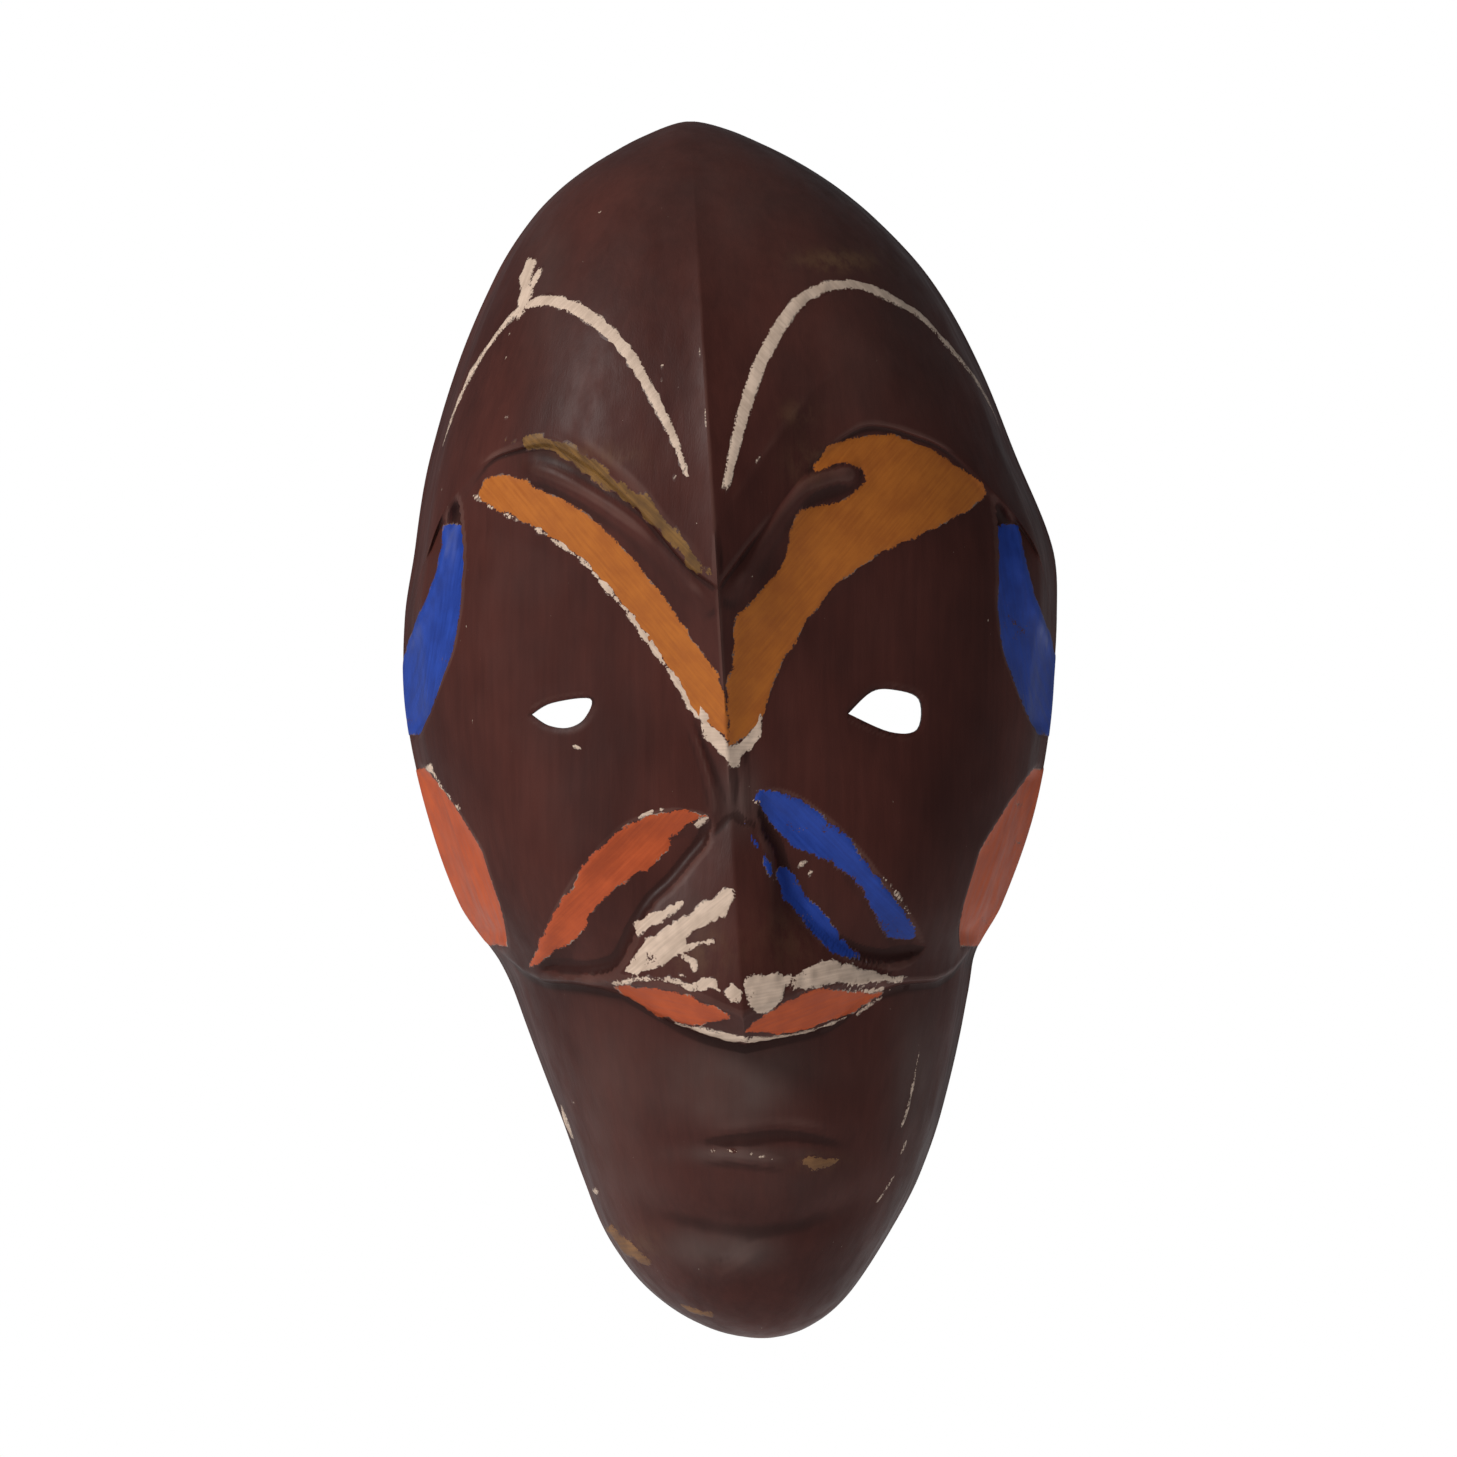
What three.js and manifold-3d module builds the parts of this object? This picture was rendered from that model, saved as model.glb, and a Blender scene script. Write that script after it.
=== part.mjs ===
// A carved wooden wall mask: one hollowed block of wood with a domed forehead, a hooded brow, painted
// hollows, a wedge nose and a long jaw. A swivelling hanging ring is let into the flat land behind it.
// Millimetres, +Z up, the face looks along -Y and the wall is the plane y = 0.
// The origin is on the flat land of the back, between the hanger's pocket and the hollow.
// Heights h below are measured up from the tip of the chin.
import * as THREE from "three";
import { mergeVertices } from "three/addons/utils/BufferGeometryUtils.js";
import Module from "manifold-3d";

const wasm = await Module();
wasm.setup();

// ---------------------------------------------------------------- driving dimensions
const HEIGHT = 300; // chin to crown
const ORIGIN_HEIGHT = 235.5; // chin to the origin
const HINGE_HEIGHT = 268; // chin to the axis of the hanging ring
const LEAN = 0.0593; // sideways lean of the centreline, per mm of height
const CHIN_X = 7.2; // where that centreline meets the chin

const FOREHEAD_DEPTH = 80; // wall to the fullest part of the dome
const FACE_DEPTH = 67; // wall to the set-back face
const JAW_DEPTH = 62; // wall to the jaw
const NOSE_RISE = 13; // nose tip, above the face
const BRIDGE_RISE = 11; // bridge where it leaves the brow, above the face
const BROW_RISE = 3.5; // brow flank away from the bridge
const KEEL_RISE = 3; // ridge along the middle of the forehead
const LIP_UNDERCUT = 9; // how far the lip facets fall back under the nose
const RIB_RISE = 1.9; // rounded ribs under the hood
const SCOOP = 2.2; // depth of the painted hollows
const LEAF_BANK = 7; // width of a cheek hollow's gentle bank
const LEAF_STEEP_BANK = 5; // and of its bank beside the nose

const WAIST = 129; // height where bridge and nose meet
const BROW_TIP = 184; // lowest point of the hood, on the centreline

const HOLLOW_DEPTH = 50; // wall to the deepest part of the hollow
const HOLLOW_LOW = 14; // lower end of the hollow
const HOLLOW_HIGH = 230; // upper end: above it the back is a flat land
const RIM = 10; // width of the rim beside the hollow

const PAINT_GAP = 0.35; // clear of the wood
const PAINT_THICK = 0.7;

const COLUMNS = 25; // facets from the centreline to each side
const JAW_ROWS = 14;
const FACE_ROWS = 29;
const FOREHEAD_ROWS = 12;
const STEP = 1.1; // half the height over which a carved step falls
const SLIVER = 0.08; // edges shorter than this are merged after a cut

// ---------------------------------------------------------------- small mathematics
const clamp = (x, low = 0, high = 1) => Math.min(high, Math.max(low, x));
const mix = (a, b, k) => a + (b - a) * k;
const smooth = (x) => clamp(x) ** 2 * (3 - 2 * clamp(x));
const hump = (x, centre, spread) => Math.exp(-(((x - centre) / spread) ** 2));
const lobe = (k) => (k > 0 && k < 1 ? Math.sin(Math.PI * k) : 0);

// A smooth function through a few points, which never overshoots them.
function through(points) {
  const slope = points.slice(1).map(([x, y], i) => (y - points[i][1]) / (x - points[i][0]));
  const tangent = points.map((_, i) => {
    const before = slope[i - 1] ?? slope[i];
    const after = slope[i] ?? slope[i - 1];
    return before * after > 0 ? (2 * before * after) / (before + after) : 0;
  });
  tangent[0] = slope[0];
  tangent[points.length - 1] = slope.at(-1);
  return (x) => {
    let i = 0;
    while (i < points.length - 2 && x > points[i + 1][0]) i += 1;
    const [x0, y0] = points[i];
    const [x1, y1] = points[i + 1];
    const span = x1 - x0;
    const k = clamp((x - x0) / span);
    const cubic = (1 + 2 * k) * (1 - k) ** 2 * y0 + k * k * (3 - 2 * k) * y1;
    return cubic + span * (k * (1 - k) ** 2 * tangent[i] - k * k * (1 - k) * tangent[i + 1]);
  };
}

// ---------------------------------------------------------------- outline, from the front
const centreX = (h) => CHIN_X - LEAN * h;
const fullness = (h) => Math.sqrt(Math.max(0, 1 - (2 * h / HEIGHT - 1) ** 2));
const widthFactor = through([
  [0, 69], [10, 65.2], [22, 62.8], [55, 60.7], [80, 61.7], [92, 63], [107, 69.8], [137, 77], [160, 80.3],
  [192, 82.5], [225, 80.6], [262, 80.2], [277, 78], [283.5, 75.4], [288, 71.8], [292, 66.6], [296, 58],
  [300, 44],
]);
const widerOnRight = through([
  [0, -5.4], [12, -5.6], [22, -4.4], [40, -0.6], [55, 0.5], [85, -0.1], [100, -1.6], [130, -0.1],
  [160, 1.2], [178, 2.9], [195, 4.8], [218, 3.7], [240, 4.3], [258, 4.8], [285, 3.2], [300, 4],
]);

// u runs from -1 at the left rim through 0 on the centreline to 1 at the right rim.
function acrossAt(u, h) {
  const halfWidth = fullness(h) * widthFactor(h);
  return centreX(h) + (Math.sign(u) * halfWidth + widerOnRight(h) * fullness(h)) * Math.abs(u);
}

// ---------------------------------------------------------------- the carved lines, as heights over e = |u|
const hoodLeft = through([
  [0, BROW_TIP], [0.09, 189.5], [0.26, 204], [0.45, 215], [0.58, 219], [0.72, 217], [0.85, 210],
  [0.91, 202.5], [0.95, 192], [1, 174],
]);
const hoodRight = through([
  [0, BROW_TIP], [0.1, 194.5], [0.27, 210], [0.4, 219], [0.54, 223.5], [0.7, 220.5], [0.8, 215.5],
  [0.87, 207.5], [0.93, 197], [1, 172],
]);
const hoodEdge = (u) => (u < 0 ? hoodLeft(-u) : hoodRight(u));
const flankFoot = (u) => Math.min(WAIST + 74 * (1 - Math.exp(-Math.abs(u) / 0.28)), hoodEdge(u) - 2);
const footLine = through([
  [0, 74], [0.17, 76], [0.37, 79.5], [0.52, 84.5], [0.62, 87.3], [0.72, 88.4], [0.82, 88.6], [0.9, 90.5],
  [0.96, 95], [1, 98.5],
]);
// The foot of the head over the jaw is a little higher on the left of the lip.
const headFoot = (u) => footLine(Math.abs(u)) - 1.5 * Math.sign(u) * hump(Math.abs(u), 0.42, 0.16);
const lipLine = through([[0, 81], [0.08, 83], [0.2, 85.8], [0.35, 88], [0.5, 89], [0.66, 89]]);
const NOSE_CORNER = 0.66; // e where the groove, the lip line and the foot of the head meet

// ---------------------------------------------------------------- the carved lines, as lists of [x, h]
// The foot of each leaf-shaped cheek hollow, where it meets the nose, and its upper edge.
const LEAF_FEET = {
  left: [
    [-5, 129.5], [-6, 123], [-9.8, 118], [-14.3, 112.5], [-19, 108], [-23.3, 101.5], [-27.8, 93],
    [-33, 90.5], [-41, 90], [-48.5, 92.3],
  ],
  right: [
    [5.5, 132.5], [7, 125.6], [9.5, 121.2], [11, 116], [13.7, 109], [19.5, 101.2], [26.5, 96],
    [33, 93.5], [40, 93], [45, 95], [47, 97.5],
  ],
};
const LEAF_TOPS = {
  left: [
    [-5, 129.5], [-12, 130.6], [-17.8, 130], [-24.5, 127.6], [-29.5, 124], [-35.3, 117.7], [-40.3, 111],
    [-44.2, 104], [-48.5, 92.3],
  ],
  right: [
    [5.5, 132.5], [7, 135.3], [12.8, 134.7], [19.6, 130.9], [26.5, 125], [32.4, 118.2], [38.3, 110.3],
    [43.2, 104], [46, 99.5], [47, 97.5],
  ],
};
const BROW_RIBS = {
  left: [[-52, 214], [-44, 211.5], [-35, 206.7], [-24.4, 199.5], [-17.6, 192.8], [-10.8, 185.5], [-4, 178]],
  right: [[-2, 180], [3.5, 188.5], [8.3, 197], [12.6, 203.2], [18.5, 209], [26, 211.5], [31, 211.8]],
};
const CHIN_CREASE = [[-17, 34], [-8, 30], [0, 28.3], [9, 28.3], [18, 30], [28, 34], [37, 39]];
// The two hollows on each side of the head, as e over h: a front edge and a back edge each.
const SIDE_HOLLOWS = {
  temple: {
    low: 147,
    high: 208,
    front: through([
      [147, 0.975], [155.7, 0.905], [163, 0.865], [170, 0.83], [180, 0.816], [191, 0.825], [202, 0.851],
      [208, 0.87],
    ]),
    back: through([
      [147, 0.995], [165, 0.99], [170, 0.978], [175, 0.95], [180, 0.917], [186, 0.897], [192, 0.885],
      [208, 0.89],
    ]),
  },
  cheek: {
    low: 95,
    high: 142,
    front: through([[95, 0.93], [107, 0.845], [118, 0.84], [128, 0.88], [136, 0.93], [142, 0.98]]),
    back: () => 1,
  },
};

// A smooth line through points, as many short straight pieces.
function curve(points) {
  const line = new THREE.SplineCurve(points.map(([x, h]) => new THREE.Vector2(x, h)));
  return line.getPoints(4 * (points.length - 1));
}

// Distance from a line, and the share of the way along it of its nearest place.
function distanceFrom(x, h, line) {
  let nearest = Infinity;
  let place = 0;
  for (let i = 0; i < line.length - 1; i += 1) {
    const along = line[i + 1].clone().sub(line[i]);
    const k = clamp(((x - line[i].x) * along.x + (h - line[i].y) * along.y) / along.lengthSq());
    const apart = Math.hypot(x - line[i].x - k * along.x, h - line[i].y - k * along.y);
    if (apart < nearest) {
      nearest = apart;
      place = (i + k) / (line.length - 1);
    }
  }
  return { nearest, place };
}

// 1 on a line, falling to 0 over spread beside it and towards its ends.
function alongLine(x, h, line, spread, fade = 0.15) {
  const { nearest, place } = distanceFrom(x, h, line);
  return hump(nearest, 0, spread) * smooth(place / fade) * smooth((1 - place) / fade);
}

function isInside(x, h, outline) {
  let inside = false;
  outline.forEach((a, i) => {
    const b = outline[(i + 1) % outline.length];
    if (a.y > h !== b.y > h && x < a.x + ((h - a.y) * (b.x - a.x)) / (b.y - a.y)) inside = !inside;
  });
  return inside;
}

const leaves = Object.keys(LEAF_TOPS).map((side) => {
  const top = curve(LEAF_TOPS[side]);
  const foot = curve(LEAF_FEET[side]);
  return { top, foot, outline: [...top, ...[...foot].reverse()] };
});
const ribs = Object.values(BROW_RIBS).map((points) => curve(points));
const chinCrease = curve(CHIN_CREASE);

// Where leaf hollow and nose meet, as a height over u: the foot of each leaf, run on to the rim.
function footOverU(side) {
  const start = [side === "left" ? -0.6 : 0, WAIST];
  const places = [start, ...LEAF_FEET[side].slice(1, 7)].map(([x, h]) => {
    return [Math.abs(x - centreX(h)) / (fullness(h) * widthFactor(h)), h];
  });
  return through([...places, [NOSE_CORNER, 90.5], [1, 86]]);
}
const footLeft = footOverU("left");
const footRight = footOverU("right");
const noseGroove = (u) => (u < 0 ? footLeft(-u) : footRight(u));

const round = (e, power) => (1 - Math.min(1, e) ** power) ** (1 / power);

// ---------------------------------------------------------------- depth in front of the wall
function foreheadDepth(u, h) {
  const e = Math.abs(u);
  const dome = FOREHEAD_DEPTH * fullness(h) ** 0.9 * round(e, 2.2);
  const keel = KEEL_RISE * Math.exp(-e / 0.1) * smooth((HEIGHT - h) / 80);
  const above = h - hoodEdge(u);
  const chamfer = u > 0 ? 4 * clamp(1 - above / 15) : 2 * clamp(1 - above / 5);
  return dome + keel - chamfer * hump(e, 0.27, 0.24);
}

function browRelief(u, h) {
  const e = Math.abs(u);
  const q = clamp((h - flankFoot(u)) / (hoodEdge(u) - flankFoot(u)));
  const rise = BROW_RISE + (BRIDGE_RISE - BROW_RISE) * Math.exp(-e / 0.16);
  const x = acrossAt(u, h);
  const raised = ribs.reduce((sum, line) => sum + alongLine(x, h, line, 2.4), 0);
  return rise * q ** 1.3 + RIB_RISE * raised;
}

function noseRelief(u, h) {
  const e = Math.abs(u);
  const groove = noseGroove(u);
  const lip = lipLine(e);
  const wedge = NOSE_RISE * clamp((groove - h) / (groove - lip)) ** 0.85 * clamp(1 - e / NOSE_CORNER);
  const under = LIP_UNDERCUT * clamp((lip - h) / (lip - headFoot(u)));
  return wedge - under * smooth((NOSE_CORNER - e) / 0.15);
}

function faceDepth(u, h) {
  const e = Math.abs(u);
  const level = FACE_DEPTH * fullness(h) ** 0.5;
  const eyeHollow = 2.5 * hump(e, 0.48, 0.25) * hump(h, 160, 26);
  const cheek = 3 * hump(e, 0.55, 0.3) * hump(h, 108, 22);
  return level * round(e, 2.3) + browRelief(u, h) + noseRelief(u, h) - eyeHollow + cheek;
}

function jawDepth(u, h) {
  const x = acrossAt(u, h);
  const mouthX = x - 5;
  const level = JAW_DEPTH * fullness(h) ** 0.6 * round(Math.abs(u), 2.2);
  const lips = (0.8 * hump(h, 55, 6) + 1.7 * hump(h, 38, 8)) * hump(mouthX, 0, 26);
  const philtrum = 2.5 * smooth((h - 52) / 24) * hump(mouthX, -3, 22);
  const crease = 1.2 * alongLine(x, h, chinCrease, 4, 0.3);
  return level + (lips - philtrum - crease) * smooth(h / 8);
}

// How deep the painted hollows are cut, square to the surface.
const bowl = (q) => (4 * clamp(q) * (1 - clamp(q))) ** 0.6;

function scoopAt(u, h) {
  const e = Math.abs(u);
  const sides = Object.values(SIDE_HOLLOWS).map(({ low, high, front, back }) => {
    const underHood = smooth((hoodEdge(u) - h + 2) / 9);
    const ends = smooth((h - low) / 5) * smooth((high - h) / 5) * underHood;
    return ends * bowl((e - front(h)) / (back(h) - front(h)));
  });
  const x = acrossAt(u, h);
  const cheeks = leaves.map(({ top, foot, outline }) => {
    if (!isInside(x, h, outline)) return 0;
    const gentle = distanceFrom(x, h, top).nearest / LEAF_BANK;
    const steep = distanceFrom(x, h, foot).nearest / LEAF_STEEP_BANK;
    return 1 - (1 - clamp(Math.min(gentle, steep))) ** 2;
  });
  return SCOOP * Math.max(...cheeks, ...sides);
}

function depthAt(u, h) {
  const e = Math.abs(u);
  const hoodStep = STEP * (1 + 9 * smooth((e - 0.74) / 0.2));
  const aboveHood = smooth((h - hoodEdge(u)) / (2 * hoodStep) + 0.5);
  const aboveFoot = smooth((h - headFoot(u)) / (2 * STEP) + 0.5);
  const rimFade = smooth((1 - e) / 0.06);
  const head = mix(faceDepth(u, h), foreheadDepth(u, h), aboveHood);
  return Math.max(0, mix(jawDepth(u, h), head, aboveFoot)) * mix(round(e, 2), 1, rimFade);
}

// A point of the carved surface, without its scoops, in the part's own frame.
const pointAt = (u, h) => new THREE.Vector3(acrossAt(u, h), -depthAt(u, h), h - ORIGIN_HEIGHT);

function normalAt(u, h) {
  const du = 0.01;
  const dh = 0.6;
  const along = pointAt(clamp(u + du, -1, 1), h).sub(pointAt(clamp(u - du, -1, 1), h));
  const up = pointAt(u, Math.min(h + dh, HEIGHT)).sub(pointAt(u, Math.max(h - dh, 0)));
  const normal = along.cross(up);
  return normal.lengthSq() > 1e-9 ? normal.normalize() : new THREE.Vector3(0, -1, 0);
}

function carvedPoint(u, h, proud = 0) {
  if (h <= 0 || h >= HEIGHT) return pointAt(u, h);
  const place = pointAt(u, h).addScaledVector(normalAt(u, h), proud - scoopAt(u, h));
  if (Math.abs(u) === 1) place.set(acrossAt(u, h) + Math.sign(u) * proud, 0, h - ORIGIN_HEIGHT);
  return place;
}

// ---------------------------------------------------------------- solids
const toSolid = (geometry) => {
  const bare = geometry.index ? geometry.toNonIndexed() : geometry.clone();
  for (const name of Object.keys(bare.attributes)) if (name !== "position") bare.deleteAttribute(name);
  const merged = mergeVertices(bare, 1e-3);
  return new wasm.Manifold(new wasm.Mesh({
    numProp: 3,
    vertProperties: merged.attributes.position.array,
    triVerts: new Uint32Array(merged.index.array),
  }));
};

const toGeometry = (solid) => {
  const mesh = solid.simplify(SLIVER).getMesh();
  const places = new Float32Array(mesh.numVert * 3);
  for (let i = 0; i < mesh.numVert; i += 1) {
    places.set(mesh.vertProperties.subarray(i * mesh.numProp, i * mesh.numProp + 3), i * 3);
  }
  const geometry = new THREE.BufferGeometry();
  geometry.setAttribute("position", new THREE.BufferAttribute(places, 3));
  geometry.setIndex(new THREE.BufferAttribute(mesh.triVerts, 1));
  return geometry;
};

// A closed body from rows of points: a skin over the rows, and a flat or second skin behind it.
function closedBody(front, back) {
  const triangles = [];
  const face = (a, b, c) => {
    if (a.distanceTo(b) > 1e-4 && b.distanceTo(c) > 1e-4 && c.distanceTo(a) > 1e-4) triangles.push(a, b, c);
  };
  const quad = (a, b, c, d) => {
    face(a, b, c);
    face(a, c, d);
  };
  for (let i = 0; i < front.length - 1; i += 1) {
    const last = front[i].length - 1;
    for (let j = 0; j < last; j += 1) {
      quad(front[i][j], front[i][j + 1], front[i + 1][j + 1], front[i + 1][j]);
      if (back) quad(back[i][j + 1], back[i][j], back[i + 1][j], back[i + 1][j + 1]);
    }
    if (!back) quad(front[i][last], front[i][0], front[i + 1][0], front[i + 1][last]);
    else {
      quad(back[i][0], front[i][0], front[i + 1][0], back[i + 1][0]);
      quad(front[i][last], back[i][last], back[i + 1][last], front[i + 1][last]);
    }
  }
  return toSolid(new THREE.BufferGeometry().setFromPoints(triangles));
}

// ---------------------------------------------------------------- the carved front, as rows along its lines
const columns = [];
for (let i = -COLUMNS; i <= COLUMNS; i += 1) {
  columns.push(Math.sign(i) * Math.sin((Math.PI / 2) * Math.abs(i / COLUMNS) ** 1.1));
}

function rowHeights(u) {
  const foot = headFoot(u);
  const hood = hoodEdge(u);
  const heights = [];
  for (let i = 0; i <= JAW_ROWS; i += 1) heights.push((foot - STEP) * (i / JAW_ROWS) ** 1.5);
  for (let i = 0; i <= FACE_ROWS; i += 1) heights.push(mix(foot + STEP, hood - STEP, i / FACE_ROWS));
  for (let i = 0; i <= FOREHEAD_ROWS; i += 1) {
    heights.push(HEIGHT - (HEIGHT - hood - STEP) * (1 - i / FOREHEAD_ROWS) ** 1.7);
  }
  return heights;
}

function frontRows(proud) {
  const grid = columns.map((u) => rowHeights(u).map((h) => carvedPoint(u, h, proud)));
  return grid[0].map((_, row) => grid.map((column) => column[row]));
}

// ---------------------------------------------------------------- the hollow behind the face
function hollowSolid() {
  const rows = [];
  const count = 22;
  const across = 20;
  for (let i = 0; i <= count; i += 1) {
    const h = mix(HOLLOW_LOW, HOLLOW_HIGH, (1 - Math.cos((Math.PI * i) / count)) / 2);
    const row = [];
    for (let j = 0; j <= across; j += 1) {
      const u = -Math.cos((Math.PI * j) / across);
      const inset = 1 - RIM / (fullness(h) * widthFactor(h));
      const x = centreX(h) + (acrossAt(u, h) - centreX(h)) * inset * lobe(i / count) ** 0.35;
      const deep = HOLLOW_DEPTH * lobe(i / count) ** 0.75 * lobe(j / across) ** 0.85;
      row.push(new THREE.Vector3(x, -deep, h - ORIGIN_HEIGHT));
    }
    rows.push(row);
  }
  const mouth = rows.map((row) => row.map((p) => new THREE.Vector3(p.x, 3, p.z)));
  return closedBody(rows, mouth);
}

// A prism along Y over an outline given in the x-z plane.
function prism(outline, fromY, toY) {
  const shape = new THREE.Shape(outline.map((p) => new THREE.Vector2(p.x, p.y)));
  const geometry = new THREE.ExtrudeGeometry(shape, { depth: toY - fromY, bevelEnabled: false });
  geometry.rotateX(Math.PI / 2);
  geometry.translate(0, toY, 0);
  return toSolid(geometry);
}

const closedCurve = (points, steps) =>
  new THREE.SplineCurve([...points, points[0]].map(([x, h]) => new THREE.Vector2(x, h - ORIGIN_HEIGHT)))
    .getPoints(steps)
    .slice(0, -1);

// Eye holes: an almond on the left, and a wider one with a square outer end on the right.
const EYES = {
  left: [[-49, 153.6], [-44, 156.4], [-34.6, 157.4], [-36, 152.6], [-40, 150.4], [-45, 151]],
  right: [[27.9, 153.8], [33.5, 159], [39, 159.6], [45.2, 157.3], [44.8, 150], [38, 149.4]],
};

// ---------------------------------------------------------------- the hanger and its pocket
const POCKET_DEPTH = 6;
const POCKET_MARGIN = 3.5; // around the ring, in both its positions
const RING_LENGTH = 14; // hinge axis to the middle of the bow's wire
const RING_HALF_WIDTH = 8.2;
const WIRE_RADIUS = 1.2;
const KNUCKLE_RADIUS = 2.5;
const KNUCKLE_BORE = 1.5;
const PLATE_WIDTH = 10;
const PLATE_LENGTH = 24; // hinge axis to the plate's round end
const PLATE_THICK = 1;
const FIRST_SCREW = 7; // hinge axis to the first screw
const SCREW_PITCH = 12.5;
const SCREW = { length: 10, shank: 1.4, head: 2.6, headHigh: 1.3, taper: 4 };
const CLEARANCE = 0.3; // between pieces that touch

const HINGE_Z = HINGE_HEIGHT - ORIGIN_HEIGHT;
const PLATE_BACK = CLEARANCE - POCKET_DEPTH;
const HINGE_Y = PLATE_BACK + KNUCKLE_RADIUS;
const SCREW_SEAT = PLATE_BACK + PLATE_THICK + CLEARANCE;
const SCREWS_Z = [HINGE_Z - FIRST_SCREW, HINGE_Z - FIRST_SCREW - SCREW_PITCH];

const rod = (radius, length, sides) => new THREE.CylinderGeometry(radius, radius, length, sides);

function pocketSolid() {
  const halfWidth = RING_HALF_WIDTH + POCKET_MARGIN;
  const roundFrom = HINGE_Z + RING_LENGTH + WIRE_RADIUS + POCKET_MARGIN - halfWidth;
  const bottom = HINGE_Z - PLATE_LENGTH - POCKET_MARGIN;
  const shape = new THREE.Shape();
  shape.moveTo(-halfWidth, bottom);
  shape.lineTo(halfWidth, bottom);
  shape.absarc(0, roundFrom, halfWidth, 0, Math.PI, false);
  shape.closePath();
  return prism(shape.getPoints(8), -POCKET_DEPTH, 3);
}

function plateSolid() {
  const radius = PLATE_WIDTH / 2;
  const roundFrom = HINGE_Z - PLATE_LENGTH + radius;
  const shape = new THREE.Shape();
  shape.moveTo(radius, HINGE_Z);
  shape.lineTo(-radius, HINGE_Z);
  shape.absarc(0, roundFrom, radius, Math.PI, 2 * Math.PI, false);
  shape.closePath();
  const knuckle = rod(KNUCKLE_RADIUS, PLATE_WIDTH, 20).rotateZ(Math.PI / 2).translate(0, HINGE_Y, HINGE_Z);
  const bore = rod(KNUCKLE_BORE, PLATE_WIDTH + 4, 16).rotateZ(Math.PI / 2).translate(0, HINGE_Y, HINGE_Z);
  let plate = prism(shape.getPoints(8), PLATE_BACK, PLATE_BACK + PLATE_THICK);
  plate = plate.add(toSolid(knuckle)).subtract(toSolid(bore));
  for (const z of SCREWS_Z) {
    const hole = rod(SCREW.shank + CLEARANCE, 8, 16).translate(0, PLATE_BACK, z);
    plate = plate.subtract(toSolid(hole));
  }
  return plate;
}

// The ring hangs from its straight bar in the knuckle: two short sides and a round bow below.
function ringGeometry() {
  const corner = 2.2;
  const sides = 10;
  const arc = (cx, cz, radius, from, to, steps) =>
    Array.from({ length: steps + 1 }, (_, i) => {
      const angle = mix(from, to, i / steps);
      return new THREE.Vector3(cx + radius * Math.cos(angle), 0, cz + radius * Math.sin(angle));
    });
  const line = [
    ...arc(RING_HALF_WIDTH - corner, -corner, corner, Math.PI / 2, 0, 4),
    ...arc(0, RING_HALF_WIDTH - RING_LENGTH, RING_HALF_WIDTH, 0, -Math.PI, 14),
    ...arc(corner - RING_HALF_WIDTH, -corner, corner, Math.PI, Math.PI / 2, 4),
  ];
  const sections = line.map((place, i) => {
    const along = line[(i + 1) % line.length].clone().sub(line.at(i - 1));
    const outward = new THREE.Vector3(0, 1, 0).cross(along).normalize();
    return Array.from({ length: sides }, (_, k) => {
      const angle = (2 * Math.PI * k) / sides;
      const point = place.clone().addScaledVector(outward, WIRE_RADIUS * Math.cos(angle));
      return point.add(new THREE.Vector3(0, WIRE_RADIUS * Math.sin(angle), 0));
    });
  });
  const triangles = [];
  sections.forEach((section, i) => {
    const next = sections[(i + 1) % sections.length];
    section.forEach((point, k) => {
      const l = (k + 1) % sides;
      triangles.push(point, section[l], next[l], point, next[l], next[k]);
    });
  });
  return new THREE.BufferGeometry().setFromPoints(triangles).translate(0, HINGE_Y, HINGE_Z);
}

// A round-headed wood screw that stands along Y, with its point in the wood.
function screwGeometry(z) {
  const tip = SCREW_SEAT - SCREW.length;
  const crown = SCREW_SEAT + SCREW.headHigh;
  const profile = [
    [0, tip], [SCREW.shank, tip + SCREW.taper], [SCREW.shank, SCREW_SEAT], [SCREW.head, SCREW_SEAT],
    [SCREW.head * 0.85, crown - SCREW.headHigh * 0.3], [0, crown],
  ];
  return new THREE.LatheGeometry(profile.map(([r, y]) => new THREE.Vector2(r, y)), 16).translate(0, 0, z);
}

function screwHole(z) {
  const bottom = SCREW_SEAT - SCREW.length - CLEARANCE;
  return toSolid(rod(SCREW.shank + CLEARANCE, -bottom, 16).translate(0, bottom / 2, z));
}

// ---------------------------------------------------------------- the wood
const block = closedBody(frontRows(0));
let body = block.subtract(hollowSolid()).subtract(pocketSolid());
for (const z of SCREWS_Z) body = body.subtract(screwHole(z));
for (const outline of Object.values(EYES)) body = body.subtract(prism(closedCurve(outline, 22), -90, 3));

// ---------------------------------------------------------------- the paint
const outerSkin = closedBody(frontRows(PAINT_GAP + PAINT_THICK));
const skin = outerSkin.subtract(closedBody(frontRows(PAINT_GAP))).subtract(block);

// The largest piece of a solid, without the slivers a cut leaves.
const largest = (solid) => solid.decompose().sort((a, b) => b.volume() - a.volume())[0];

const splineOf = (points) =>
  new THREE.SplineCurve(points.map(([x, h]) => new THREE.Vector2(x, h - ORIGIN_HEIGHT)));

// An outline between two edges that share their ends. Each edge is a list of [x, h].
function between(upper, lower) {
  const edge = (points) => splineOf(points).getPoints(12);
  return [...edge(upper), ...edge([...lower].reverse()).slice(1, -1)];
}

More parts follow.
